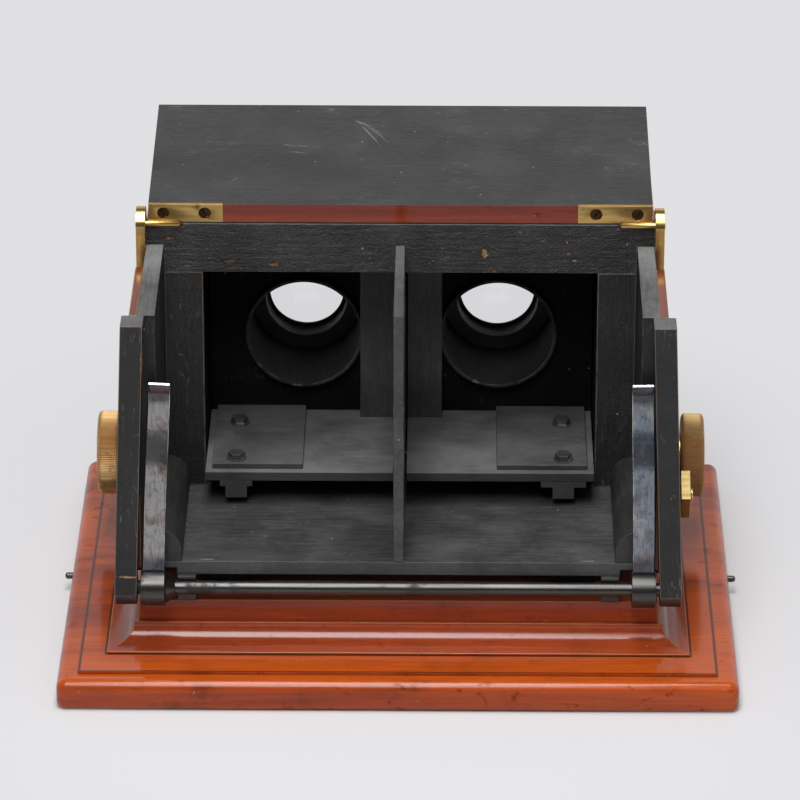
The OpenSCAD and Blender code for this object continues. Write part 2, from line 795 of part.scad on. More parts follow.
module knob(side) {
    r = knob_d / 2;
    lip = 0.9;
    color(brass) on_side(side) translate([knob_in, shaft_y, shaft_z]) difference() {
        union() {
            translate([lip, 0, 0]) rotate([90, 0, 90]) linear_extrude(knob_t - 2 * lip)
                polygon(ribbed(r));
            rotate([0, 90, 0]) cylinder(h = lip, r1 = r - 1.2, r2 = r - 0.6);
            translate([knob_t - lip, 0, 0]) rotate([0, 90, 0])
                cylinder(h = lip, r1 = r - 0.6, r2 = r - 1.5);
        }
        translate([-1, 0, 0]) rotate([0, 90, 0]) cylinder(h = knob_t + 2, r = shaft_d / 2 + fit / 2);
        translate([knob_t - 1.2, 0, 0]) rotate([0, 90, 0]) rotate_extrude()
            translate([r * 0.35, 0]) square([r * 0.4, 2]);
    }
}

module knob_l() { knob(-1); }
module knob_r() { knob(1); }

module shaft_bushes() {
    color(brass) both_sides() difference() {
        union() {
            bar_x(wall_in, cheek_out - wall_in + 1, shaft_y, shaft_z, shaft_bush_d / 4);
            bar_x(cheek_out, shaft_bush_len, shaft_y, shaft_z, shaft_bush_d / 2);
        }
        bar_x(wall_in - 1, cheek_out + shaft_bush_len, shaft_y, shaft_z, shaft_d / 2 + run);
    }
}

module clamp_stud() {
    color(brass) {
        bar_x(wall_in + 1.5, clamp_in + clamp_t + 1.8 - wall_in - 0.5, clamp_y, clamp_z, stud_d / 2);
        bar_x(cheek_out, boss_len, clamp_y, clamp_z, clamp_w * 0.45);
    }
}

module clamp_nut() {
    color(brass) translate([clamp_in, clamp_y, clamp_z]) difference() {
        rotate([0, 90, 0]) union() {
            cylinder(h = 1.8, r1 = clamp_w * 0.3, r2 = clamp_w * 0.48);
            translate([0, 0, 1.8]) rotate(32) translate([-clamp_w / 2, -clamp_w / 2, 0])
                cube([clamp_w, clamp_w, clamp_t]);
        }
        translate([-1, 0, 0]) rotate([0, 90, 0]) cylinder(h = clamp_t + 4, r = stud_d / 2 + run);
    }
}

// Children are drawn with the lid shut and turned open about the pivots
module opened() {
    translate([0, hinge_y, hinge_z]) rotate([-lid_open, 0, 0])
        translate([0, -hinge_y, -hinge_z]) children();
}

// A pivot along the lid's corner with a pointed inner end
module pivot(grow, from, to) {
    r = pivot_d / 2 + grow;
    bar_x(from, to - from, hinge_y, hinge_z, r);
    translate([from - 1, hinge_y, hinge_z]) rotate([0, 90, 0]) cylinder(h = 1, r1 = r / 3, r2 = r);
}

// A countersunk screw along -Z from the face it is flush with, and grown
// all round where it cuts its own hole
module screw(len, grow) {
    r = screw_head_d / 2;
    rotate_extrude() polygon([[0, grow], [r + grow, grow], [r + grow, 0],
        [r / 2 + grow, -r / 2], [r / 2 + grow, -len - grow], [0, -len - grow]]);
}

module slotted_screw(len) {
    difference() {
        screw(len, 0);
        translate([-screw_head_d, -0.3, -0.5]) cube([2 * screw_head_d, 0.6, 2]);
    }
}

module at_hinge_screws() {
    both_sides() for (x = hinge_screw_x) translate([x, lid_edge_y, lid_top - lid_t / 2])
        rotate([-90, 0, 0]) children();
}

module lid() {
    color(black_paint) opened() difference() {
        translate([-lid_w / 2, lid_edge_y - lid_len, lid_top - lid_t]) cube([lid_w, lid_len, lid_t]);
        both_sides() {
            translate([lid_w / 2 - strap_len - fit, lid_edge_y - strap_t - fit, lid_top - lid_t - 1])
                cube([strap_len + 1, strap_t + 1, lid_t + 2]);
            pivot(fit, pivot_in, lid_w / 2 + 1);
        }
        at_hinge_screws() screw(hinge_screw_len, fit);
    }
}

module hinge_strap(side) {
    color(brass) opened() difference() {
        on_side(side) {
            translate([lid_w / 2 - strap_len, lid_edge_y - strap_t, lid_top - lid_t])
                cube([strap_len, strap_t, lid_t]);
            pivot(0, pivot_in, pivot_out);
        }
        at_hinge_screws() screw(hinge_screw_len, fit);
    }
}

module hinge_strap_l() { hinge_strap(-1); }
module hinge_strap_r() { hinge_strap(1); }

module hinge_screws() {
    color(iron) opened() at_hinge_screws() rotate(55) slotted_screw(hinge_screw_len);
}

module hinge_cheek(side) {
    w = hinge_cheek_w;
    color(brass) on_side(side) difference() {
        union() {
            bar_x(wall_out, hinge_cheek_t, hinge_y, hinge_z, w / 2);
            translate([wall_out, hinge_y - w / 2, hinge_z - hinge_cheek_len])
                cube([hinge_cheek_t, w, hinge_cheek_len]);
        }
        bar_x(wall_out - 1, hinge_cheek_t + 2, hinge_y, hinge_z, pivot_d / 2 + run);
        at_cheek_screws() screw(cheek_screw_len, fit);
    }
}

module hinge_cheek_l() { hinge_cheek(-1); }
module hinge_cheek_r() { hinge_cheek(1); }

module at_cheek_screws() {
    for (up = cheek_screw_up)
        translate([wall_out + hinge_cheek_t, hinge_y, hinge_z - hinge_cheek_len + up])
            rotate([0, 90, 0]) children();
}

module cheek_screws() {
    color(brass) both_sides() at_cheek_screws() slotted_screw(cheek_screw_len);
}

module clip_rod() {
    end = bush_in + bush_len - 0.2;
    color(steel) bar_x(-end, 2 * end, rod_y, rod_z, rod_d / 2);
}

// Slot in the top of a collar for the foot of its spring
module spring_slot() {
    translate([collar_x - collar_len, rod_y - spring_t / 2 - fit, rod_z + rod_d / 2 + 0.6])
        cube([2 * collar_len, spring_t + 2 * fit, collar_d]);
}

module clip_collar(side) {
    x = collar_x - collar_len / 2;
    color(steel) on_side(side) difference() {
        union() {
            bar_x(x, collar_len, rod_y, rod_z, collar_r);
            if (side < 0) translate([x - nose_len, rod_y, rod_z]) rotate([0, 90, 0])
                cylinder(h = nose_len, r1 = collar_r * 0.52, r2 = collar_r * 0.88);
        }
        bar_x(x - nose_len - 1, collar_len + nose_len + 2, rod_y, rod_z, rod_d / 2 + fit / 2);
        spring_slot();
    }
}

module clip_collar_l() { clip_collar(-1); }
module clip_collar_r() { clip_collar(1); }

// Middle line of a clip spring in Y and Z from the rod's axis: a straight
// foot, a bow away from the card, and a tip that curls out again
function spring_line() =
    let (n = 18, start = collar_r + 0.5, rise = spring_bend - start, curl = 5)
    concat([[0, spring_foot], [0, start]],
        [for (i = [1:n]) let (u = i / n)
            [spring_card * u * u * (3 - 2 * u) - spring_bow * pow(sin(180 * u), 2), start + rise * u]],
        [for (i = [1:5]) let (u = i / 5)
            [spring_card - curl * u * u, spring_bend + (spring_h - spring_bend) * u]]);

// Unit vector across the line at point i
function across(line, i) =
    let (a = line[max(i - 1, 0)], b = line[min(i + 1, len(line) - 1)], d = b - a)
    [-d[1], d[0]] / norm(d);

module clip_spring(side, inward) {
    line = spring_line();
    last = len(line) - 1;
    h = spring_t / 2;
    foot_z = rod_z + spring_foot;
    lean = atan(inward / (spring_h - spring_foot));
    color(steel) on_side(side) translate([collar_x, rod_y, foot_z]) rotate([0, -lean, 0])
        translate([-spring_w / 2, 0, -spring_foot]) rotate([90, 0, 90]) linear_extrude(spring_w)
            polygon(concat(
                [for (i = [0:last]) line[i] + h * across(line, i)],
                [for (i = [last:-1:0]) line[i] - h * across(line, i)]));
}

module clip_spring_l() { clip_spring(-1, spring_in_l); }
module clip_spring_r() { clip_spring(1, spring_in_r); }

module rod_bushes() {
    color(steel) both_sides() difference() {
        bar_x(bush_in, bush_len, rod_y, rod_z, bush_d / 2);
        bar_x(bush_in - 1, bush_len + 2, rod_y, rod_z, rod_d / 2 + run);
    }
}

// Saddles under the floor that back the rod
module rod_saddles() {
    x = collar_x - collar_len / 2 - nose_len - 0.8 - saddle_w;
    color(iron) both_sides() difference() {
        translate([x, rear_y - saddle_depth * 0.22, rod_z - rod_d * 1.1])
            cube([saddle_w, saddle_depth, floor_z - rod_z + rod_d * 1.1]);
        bar_x(x - 1, saddle_w + 2, rod_y, rod_z, rod_d / 2 + slide);
    }
}

base_board();
base_moulding();
base_riser();
catch_pins();
bearers();
floor_board();
side_wall_l();
side_wall_r();
side_cheek_l();
side_cheek_r();
post_l();
post_r();
top_rail();
top_board();
septum();
outer_panels();
corner_blocks();
chamber_walls();
eye_board();
carriage_plate_l();
carriage_plate_r();
doubler_l();
doubler_r();
rack_l();
rack_r();
plate_bolts_l();
plate_bolts_r();
lens_board_l();
lens_board_r();
lens_tube_l();
lens_tube_r();
lens_cell_l();
lens_cell_r();
lens_l();
lens_r();
eyecup_l();
eyecup_r();
light_blind_l();
light_blind_r();
focus_shaft();
pinions();
knob_l();
knob_r();
shaft_bushes();
clamp_stud();
clamp_nut();
lid();
hinge_strap_l();
hinge_strap_r();
hinge_screws();
hinge_cheek_l();
hinge_cheek_r();
cheek_screws();
clip_rod();
clip_collar_l();
clip_collar_r();
clip_spring_l();
clip_spring_r();
rod_bushes();
rod_saddles();
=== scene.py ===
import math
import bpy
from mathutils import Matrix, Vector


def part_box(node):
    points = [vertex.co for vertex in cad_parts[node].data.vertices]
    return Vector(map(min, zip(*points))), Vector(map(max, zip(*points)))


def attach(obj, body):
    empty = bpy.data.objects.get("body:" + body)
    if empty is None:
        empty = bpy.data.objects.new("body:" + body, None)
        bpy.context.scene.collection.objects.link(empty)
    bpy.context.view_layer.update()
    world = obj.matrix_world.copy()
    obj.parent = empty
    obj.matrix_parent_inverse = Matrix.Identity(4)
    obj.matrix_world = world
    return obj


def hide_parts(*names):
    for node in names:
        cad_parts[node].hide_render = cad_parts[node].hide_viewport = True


bl_info = {
    "name": "Table Stereoscope",
    "version": (1, 0, 0),
    "blender": (4, 5, 0),
    "location": "View3D > Sidebar > Stereoscope",
    "description": "Finishes a table stereoscope: polished mahogany, black paint, brass and blued steel",
    "category": "Object",
}

import bmesh
import bpy
from bpy.props import FloatProperty, FloatVectorProperty, IntProperty, PointerProperty
from mathutils import Matrix, Vector

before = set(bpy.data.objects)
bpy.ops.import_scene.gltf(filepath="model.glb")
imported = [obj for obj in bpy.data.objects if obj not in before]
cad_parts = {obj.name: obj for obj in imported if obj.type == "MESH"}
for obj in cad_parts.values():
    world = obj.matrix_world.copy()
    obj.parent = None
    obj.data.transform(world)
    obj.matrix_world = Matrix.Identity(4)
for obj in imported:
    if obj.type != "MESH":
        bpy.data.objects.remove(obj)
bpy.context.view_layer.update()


def colour(label, text, value):
    """A colour property of the panel."""
    return FloatVectorProperty(
        name=label, description=text, subtype="COLOR", size=3, min=0, max=1, default=value
    )


def length(label, text, value):
    """A length property of the panel, in metres."""
    return FloatProperty(
        name=label, description=text, unit="LENGTH", subtype="DISTANCE", min=0, default=value, precision=5
    )


def share(label, text, value, top=1.0):
    """A plain factor of the panel."""
    return FloatProperty(name=label, description=text, min=0, max=top, default=value)


class MahoganySettings(bpy.types.PropertyGroup):
    light: colour("Light wood", "Colour of the pale bands of the mahogany", (0.5, 0.084, 0.009))
    dark: colour("Dark wood", "Colour of the dark bands and pores", (0.25, 0.033, 0.005))
    bare: colour("Bare wood", "Colour where polish and paint are worn through", (0.47, 0.2, 0.07))
    polish: share("Polish", "Weight of the French polish over the wood", 0.65)
    arris: length("Arris", "Rounding of the polished edges", 0.00045)


class PaintSettings(bpy.types.PropertyGroup):
    black: colour("Black", "Colour of the matt black paint", (0.0145, 0.0145, 0.0145))
    rubbed: colour("Rubbed", "Colour of the wood that shows at rubbed edges", (0.2, 0.1, 0.05))
    roughness: share("Roughness", "Roughness of the black paint", 0.52)
    wear: share("Wear", "How far the edges are rubbed", 0.36)
    arris: length("Arris", "Rounding of the painted edges", 0.0004)


class MetalSettings(bpy.types.PropertyGroup):
    brass: colour("Brass", "Colour of the clean brass", (0.56, 0.37, 0.13))
    tarnish: colour("Tarnish", "Colour of the tarnished brass", (0.21, 0.115, 0.045))
    steel: colour("Steel", "Colour of the bare steel", (0.15, 0.145, 0.14))
    blued: colour("Blued steel", "Colour of the oxide on the springs", (0.2, 0.24, 0.285))
    iron: colour("Iron", "Colour of the blackened iron", (0.035, 0.035, 0.035))
    arris: length("Arris", "Rounding of the metal edges", 0.00025)


class KnobSettings(bpy.types.PropertyGroup):
    ribs: IntProperty(name="Ribs", description="Ribs round a focus knob", min=24, max=160, default=140)
    depth: length("Rib depth", "Depth of the ribs round a focus knob", 0.00034)


class StageSettings(bpy.types.PropertyGroup):
    floor: colour("Floor", "Colour of the studio floor", (0.69, 0.685, 0.7))
    backdrop: colour("Backdrop", "Tone of the far floor and the room behind it", (0.75, 0.742, 0.762))
    lamp: share("Lamp", "Radiance of the overhead soft lamp", 10.2, 60.0)
    sky: share("Room", "Strength of the room's even light", 0.26, 4.0)


class StereoscopeSettings(bpy.types.PropertyGroup):
    mahogany: PointerProperty(type=MahoganySettings)
    paint: PointerProperty(type=PaintSettings)
    metal: PointerProperty(type=MetalSettings)
    knob: PointerProperty(type=KnobSettings)
    stage: PointerProperty(type=StageSettings)


def settings():
    """The panel's values."""
    return bpy.context.scene.stereoscope


# Node trees

def feed(tree, socket, value):
    """Links a socket to the socket given as value, or sets it to a plain value."""
    if isinstance(value, bpy.types.NodeSocket):
        tree.links.new(value, socket)
    else:
        socket.default_value = value


def add(tree, kind, inputs=None, **fields):
    """A node with its fields set and its inputs set or linked."""
    made = tree.nodes.new(kind)
    for name, value in fields.items():
        setattr(made, name, value)
    for name, value in (inputs or {}).items():
        feed(tree, made.inputs[name], value)
    return made


def maths(tree, operation, a, b=0.0, clamp=False):
    """The result of a maths node on a and b."""
    return add(tree, "ShaderNodeMath", {0: a, 1: b}, operation=operation, use_clamp=clamp).outputs[0]


def raised(tree, base, value, amount):
    """base plus value times amount."""
    return maths(tree, "ADD", base, maths(tree, "MULTIPLY", value, amount))


def ramp(tree, value, low, high, to_low=0.0, to_high=1.0):
    """A smooth step of value from low to high."""
    return add(
        tree, "ShaderNodeMapRange",
        {"Value": value, "From Min": low, "From Max": high, "To Min": to_low, "To Max": to_high},
        interpolation_type="SMOOTHSTEP",
    ).outputs["Result"]


def mix(tree, factor, a, b, blend="MIX"):
    """Mix of two colours."""
    a, b = (tone if isinstance(tone, bpy.types.NodeSocket) else (*tone[:3], 1.0) for tone in (a, b))
    return add(tree, "ShaderNodeMix", {0: factor, 6: a, 7: b}, data_type="RGBA", blend_type=blend).outputs[2]


def noise(tree, vector, scale, detail=3.0, roughness=0.55, distortion=0.0):
    """A noise texture, from 0 to 1."""
    return add(
        tree, "ShaderNodeTexNoise",
        {
            "Vector": vector, "Scale": scale, "Detail": detail, "Roughness": roughness,
            "Distortion": distortion,
        },
    ).outputs["Fac"]


def sockets(tree, way, kinds):
    """Gives a node group its inputs or outputs, by name and kind."""
    for label, kind in kinds.items():
        tree.interface.new_socket(name=label, in_out=way, socket_type=f"NodeSocket{kind}")


def group(name, labels, build):
    """A new shader node group on a vector and some values, with the results that build gives."""
    tree = bpy.data.node_groups.new(name, "ShaderNodeTree")
    sockets(tree, "INPUT", {"Vector": "Vector", **dict.fromkeys(labels, "Float")})
    results = build(tree, tree.nodes.new("NodeGroupInput").outputs)
    sockets(tree, "OUTPUT", dict.fromkeys(results, "Float"))
    add(tree, "NodeGroupOutput", results)


def use(tree, name, inputs):
    """The results of a shader node group placed in a material."""
    return add(tree, "ShaderNodeGroup", inputs, node_tree=bpy.data.node_groups[name]).outputs


def stretched(tree, vector, length):
    """Coordinates whose X is scaled by length, so that what is drawn with them runs along X."""
    scale = add(tree, "ShaderNodeCombineXYZ", {"X": length, "Y": 1.0, "Z": 1.0}).outputs[0]
    return add(tree, "ShaderNodeVectorMath", {0: vector, 1: scale}, operation="MULTIPLY").outputs[0]


def grain_nodes(tree, inputs):
    """Figure, long fibres and short pores of wood whose grain runs along X."""
    along = stretched(tree, inputs["Vector"], inputs["Length"])
    return {
        "Figure": noise(tree, along, 42.0, 3.0, 0.5, 0.8),
        "Fibres": noise(tree, along, 900.0, 4.0, 0.65),
        "Pores": ramp(tree, noise(tree, along, 2400.0, 2.0, 0.5), 0.62, 0.74),
    }


def wear_nodes(tree, inputs):
    """Broken wear along the edges that a face attribute marks, and a few chips elsewhere."""
    reach = maths(tree, "MULTIPLY", inputs["Arris"], inputs["Amount"])
    broken = maths(tree, "ADD", noise(tree, inputs["Vector"], 130.0, 5.0, 0.65), reach)
    spots = raised(tree, noise(tree, inputs["Vector"], 75.0, 6.0, 0.7), inputs["Chips"], 0.12)
    return {"Rubbed": ramp(tree, broken, 0.82, 1.02), "Chipped": ramp(tree, spots, 0.775, 0.8)}


def dust_nodes(tree, inputs):
    """Fine pale specks and a soft cloud of dust."""
    cells = add(tree, "ShaderNodeTexVoronoi", {"Vector": inputs["Vector"], "Scale": 420.0, "Randomness": 1.0})
    chosen = add(tree, "ShaderNodeSeparateColor", {"Color": cells.outputs["Color"]}).outputs[0]
    rare = ramp(tree, chosen, 0.94, 0.99)
    small = ramp(tree, cells.outputs["Distance"], 0.08, 0.16, 1.0, 0.0)
    cloud = ramp(tree, noise(tree, inputs["Vector"], 24.0, 5.0, 0.6), 0.45, 0.75)
    return {
        "Specks": maths(tree, "MULTIPLY", maths(tree, "MULTIPLY", rare, small), inputs["Density"]),
        "Cloud": maths(tree, "MULTIPLY", cloud, inputs["Density"]),
    }


def brush_nodes(tree, inputs):
    """Strokes of a brush or a file along X."""
    along = stretched(tree, inputs["Vector"], inputs["Length"])
    return {
        "Strokes": noise(tree, along, inputs["Scale"], 4.0, 0.6),
        "Patches": noise(tree, inputs["Vector"], 45.0, 4.0, 0.55, 0.4),
    }


def scratch_nodes(tree, inputs):
    """Broken hairlines along X, and a lumpy ground."""
    vector = inputs["Vector"]
    waves = noise(tree, stretched(tree, vector, 0.16), 230.0, 2.0, 0.5, 0.3)
    line = ramp(tree, maths(tree, "ABSOLUTE", maths(tree, "SUBTRACT", waves, 0.5)), 0.004, 0.012, 1.0, 0.0)
    patch = ramp(tree, noise(tree, vector, 48.0, 3.0, 0.6), 0.5, 0.62)
    broken = ramp(tree, noise(tree, vector, 300.0, 3.0, 0.6), 0.42, 0.6)
    shown = maths(tree, "MULTIPLY", maths(tree, "MULTIPLY", line, patch), broken)
    coarse = noise(tree, vector, 330.0, 3.0, 0.55)
    return {
        "Lines": maths(tree, "MULTIPLY", shown, inputs["Amount"]),
        "Lumps": maths(tree, "ADD", noise(tree, vector, 1100.0, 3.0, 0.6), coarse),
    }


# Shader node groups: name, inputs besides the vector, and what builds the results
GROUPS = (
    ("Wood grain", ("Length",), grain_nodes),
    ("Edge wear", ("Arris", "Amount", "Chips"), wear_nodes),
    ("Dust", ("Density",), dust_nodes),
    ("Brush marks", ("Length", "Scale"), brush_nodes),
    ("Scratches", ("Amount",), scratch_nodes),
)


# Materials

GRAIN_TURNS = {"x": (0, 0, 0), "y": (0, 0, math.radians(90)), "z": (0, math.radians(90), 0)}


def new_material(name):
    """An empty material with its shader, and its Object coordinates."""
    material = bpy.data.materials.new(name)
    material.use_nodes = True
    tree = material.node_tree
    tree.nodes.clear()
    shader = add(tree, "ShaderNodeBsdfPrincipled")
    add(tree, "ShaderNodeOutputMaterial", {"Surface": shader.outputs[0]})
    place = add(tree, "ShaderNodeTexCoord").outputs["Object"]
    return material, tree, shader, place


def turned(tree, place, axis):
    """Object coordinates turned so that the grain along axis runs along X."""
    return add(tree, "ShaderNodeMapping", {"Vector": place, "Rotation": GRAIN_TURNS[axis]}).outputs[0]


def arris_of(tree):
    """1 on the faces that the rounding of an edge made."""
    return add(tree, "ShaderNodeAttribute", attribute_name="arris").outputs["Fac"]


def edge_wear(tree, place, amount, chips=0.0, arris=None):
    """Wear along a piece's edges, and chips."""
    values = {"Vector": place, "Arris": arris or arris_of(tree), "Amount": amount, "Chips": chips}
    return use(tree, "Edge wear", values)


def set_shader(tree, shader, **values):
    """Sets or links the shader's sockets, named with _ for a space."""
    for label, value in values.items():
        feed(tree, shader.inputs[label.replace("_", " ")], value)


def bumped(tree, height, strength, distance):
    """The normal of a surface with a height on it."""
    values = {"Height": height, "Strength": strength, "Distance": distance}
    return add(tree, "ShaderNodeBump", values).outputs[0]


def line_mask(tree, value, place, width):
    """A thin soft line where value is place."""
    off = maths(tree, "ABSOLUTE", maths(tree, "SUBTRACT", value, place))
    return ramp(tree, off, width * 0.35, width, 1.0, 0.0)


def box_lines(tree, place, half_x, half_y, width):
    """A thin soft frame round the origin, at half_x and half_y."""
    parts = add(tree, "ShaderNodeSeparateXYZ", {0: place}).outputs
    x = maths(tree, "SUBTRACT", maths(tree, "ABSOLUTE", parts[0]), half_x)
    y = maths(tree, "SUBTRACT", maths(tree, "ABSOLUTE", parts[1]), half_y)
    return line_mask(tree, maths(tree, "MAXIMUM", x, y), 0.0, width)


def tinted(tone, factor):
    """A tone scaled as a whole, or channel by channel."""
    factors = factor if isinstance(factor, tuple) else (factor,) * 3
    return [c * k for c, k in zip(tone, factors)]


def veil(tree, tone, over, mask, amount):
    """A tone with another laid over it where mask is, as far as amount."""
    return mix(tree, maths(tree, "MULTIPLY", mask, amount), tone, over)


def polished_mahogany(axis, name, lines=None, tint=1.0, stained=0.45, satin=0.12, gloss=1.0):
    """French-polished mahogany whose grain runs along axis; satin and gloss are those of the polish."""
    wood = settings().mahogany
    light, dark = (tinted(tone, tint) for tone in (wood.light, wood.dark))
    dirt = tinted(dark, 0.4)
    material, tree, shader, place = new_material(name)
    along = turned(tree, place, axis)
    grain = use(tree, "Wood grain", {"Vector": along, "Length": 0.045})
    dust = use(tree, "Dust", {"Vector": place, "Density": 0.6})
    wear = edge_wear(tree, place, 0.6)
    tone = mix(tree, ramp(tree, grain["Figure"], 0.34, 0.6), dark, light)
    fibres = ramp(tree, grain["Fibres"], 0.3, 0.75, 0.82, 1.1)
    grey = add(tree, "ShaderNodeCombineXYZ", {0: fibres, 1: fibres, 2: fibres}).outputs[0]
    tone = mix(tree, 1.0, tone, grey, "MULTIPLY")
    tone = veil(tree, tone, dirt, grain["Pores"], 0.5)
    tone = veil(tree, tone, dirt, ramp(tree, noise(tree, place, 34.0, 5.0, 0.68), 0.52, 0.78), stained)
    knocks = ramp(tree, noise(tree, along, 210.0, 4.0, 0.62), 0.6, 0.7)
    tone = veil(tree, tone, tinted(dark, 0.3), knocks, stained * 0.6)
    tone = veil(tree, tone, wood.bare, wear["Rubbed"], 0.5)
    if lines:
        # lines gives a mask of painted shade and dirt in corners, laid on as a dark tone
        tone = veil(tree, tone, (0.03, 0.008, 0.004), lines(tree, place), 0.85)
    tone = veil(tree, tone, (0.7, 0.6, 0.5), dust["Specks"], 0.5)
    scuffed = ramp(tree, grain["Fibres"], 0.35, 0.8, 0.32, 0.48)
    dulled = maths(tree, "MULTIPLY", maths(tree, "MAXIMUM", wear["Rubbed"], knocks), 0.4)
    height = maths(tree, "ADD", grain["Fibres"], grain["Figure"])
    height = maths(tree, "ADD", height, noise(tree, place, 420.0, 3.0, 0.6))
    set_shader(
        tree, shader, Base_Color=tone, Roughness=raised(tree, scuffed, dust["Cloud"], 0.14),
        Coat_Weight=maths(tree, "SUBTRACT", min(wood.polish * gloss, 1.0), dulled, True),
        Coat_Roughness=satin, Coat_IOR=1.5, Specular_IOR_Level=0.05,
        Normal=bumped(tree, height, 0.16, 0.0004),
    )
    return material


def mark_mask(tree, place, centre, radii, turn):
    """A ragged spot at centre, with radii along its axes, turned about Z by turn degrees."""
    local = add(
        tree, "ShaderNodeMapping",
        {"Vector": place, "Location": centre, "Rotation": (0.0, 0.0, math.radians(turn)), "Scale": radii},
        vector_type="TEXTURE",
    ).outputs[0]
    away = add(tree, "ShaderNodeVectorMath", {0: local}, operation="LENGTH").outputs["Value"]
    ragged = raised(tree, away, noise(tree, place, 850.0, 5.0, 0.75), 2.6)
    return ramp(tree, ragged, 1.75, 2.0, 1.0, 0.0)


def black_paint(
    axis, name, chips=0.15, gloss=0.0, marks=(), rubbed=1.0, pale=1.0, sheen=0.5, scratched=0.5, relief=0.4,
    tint=None,
):
    """Matt black paint on wood, brushed along axis, rubbed at the edges; pale scales its tone piece by piece,
    for dust and for painted light and shade.
    """
    paint = settings().paint
    material, tree, shader, place = new_material(name)
    along = turned(tree, place, axis)
    brush = use(tree, "Brush marks", {"Vector": along, "Length": 0.1, "Scale": 700.0})
    wear = edge_wear(tree, place, paint.wear * rubbed, chips)
    dust = use(tree, "Dust", {"Vector": place, "Density": 0.7})
    marred = use(tree, "Scratches", {"Vector": along, "Amount": scratched})
    shade = raised(tree, maths(tree, "MULTIPLY", brush["Strokes"], 0.5), brush["Patches"], 0.6)
    shade = ramp(tree, raised(tree, shade, marred["Lumps"], 0.25), 0.62, 1.08)
    tone = mix(tree, shade, tinted(paint.black, 0.6 * pale), tinted(paint.black, 1.5 * pale))
    worn = maths(tree, "MAXIMUM", wear["Rubbed"], wear["Chipped"])
    greyed = ramp(tree, noise(tree, place, 90.0, 3.0, 0.6), 0.42, 0.6)
    tone = veil(tree, tone, mix(tree, greyed, tint or paint.rubbed, (0.15, 0.14, 0.13)), worn, 0.75)
    tone = veil(tree, tone, tinted(paint.rubbed, 1.6), wear["Chipped"], 0.6)
    tone = veil(tree, tone, (0.16, 0.15, 0.14), marred["Lines"], 0.7)
    for centre, radii, turn, kind in marks:
        shown = mark_mask(tree, place, centre, radii, turn)
        tone = veil(tree, tone, BARE_TONES[kind], shown, 0.85)
        worn = maths(tree, "MAXIMUM", worn, shown)
    tone = veil(tree, tone, (0.25, 0.24, 0.23), dust["Cloud"], 0.05 * pale)
    tone = veil(tree, tone, (0.5, 0.49, 0.47), dust["Specks"], 0.8)
    height = maths(tree, "SUBTRACT", maths(tree, "ADD", brush["Strokes"], marred["Lumps"]), worn)
    set_shader(
        tree, shader, Base_Color=tone, Specular_IOR_Level=sheen,
        Roughness=raised(tree, paint.roughness - gloss - 0.12, brush["Strokes"], 0.25),
        Normal=bumped(tree, height, relief, 0.0005),
    )
    return material


def metal(name, clean, stained, roughness, patina, brushing=900.0):
    """Brushed metal with patches of tarnish and bright edges; clean and stained are settings and factors."""
    clean, stained = (tinted(getattr(settings().metal, tone), factor) for tone, factor in (clean, stained))
    material, tree, shader, place = new_material(name)
    brush = use(tree, "Brush marks", {"Vector": place, "Length": 0.04, "Scale": brushing})
    wear = edge_wear(tree, place, 0.55)
    blotch = raised(tree, brush["Patches"], noise(tree, place, 260.0, 5.0, 0.7), 0.35)
    stain = ramp(tree, blotch, 0.98 - patina * 0.5, 1.1 - patina * 0.5)
    tone = mix(tree, stain, clean, stained)
    tone = mix(tree, ramp(tree, brush["Strokes"], 0.35, 0.7, 0.0, 0.35), tone, tinted(clean, 0.45))
    tone = veil(tree, tone, [min(1.0, c * 1.5) for c in clean], wear["Rubbed"], 0.8)
    rough = raised(tree, maths(tree, "MULTIPLY", brush["Strokes"], 0.2), stain, 0.22)
    set_shader(
        tree, shader, Base_Color=tone, Roughness=maths(tree, "ADD", rough, roughness - 0.1),
        Metallic=maths(tree, "SUBTRACT", 1.0, maths(tree, "MULTIPLY", stain, 0.35), True),
        Normal=bumped(tree, maths(tree, "ADD", brush["Strokes"], stain), 0.15, 0.0002),
    )
    return material


def black_iron(name, axis, pale=1.0, sheen=0.5):
    """Blackened iron sheet, brushed along axis, with grey rubs; pale lightens its tone, for dust and, on the
    carriages' top faces, for painted light from above.
    """
    iron = tinted(settings().metal.iron, pale)
    material, tree, shader, place = new_material(name)
    along = turned(tree, place, axis)
    brush = use(tree, "Brush marks", {"Vector": along, "Length": 0.2, "Scale": 800.0})
    wear = edge_wear(tree, place, 0.3)
    dust = use(tree, "Dust", {"Vector": place, "Density": 0.4})
    marred = use(tree, "Scratches", {"Vector": along, "Amount": 0.5})
    shade = ramp(tree, raised(tree, brush["Patches"], brush["Strokes"], 0.45), 0.42, 1.0)
    tone = mix(tree, shade, tinted(iron, 0.7), tinted(iron, 1.5))
    tone = veil(tree, tone, (0.13, 0.125, 0.12), marred["Lines"], 0.6)
    tone = veil(tree, tone, (0.16, 0.155, 0.15), wear["Rubbed"], 0.5)
    tone = veil(tree, tone, (0.35, 0.34, 0.33), dust["Specks"], 0.5)
    set_shader(
        tree, shader, Base_Color=tone, Specular_IOR_Level=sheen,
        Roughness=raised(tree, 0.38, brush["Strokes"], 0.3),
        Normal=bumped(tree, maths(tree, "ADD", brush["Strokes"], marred["Lumps"]), 0.3, 0.0003),
    )
    return material


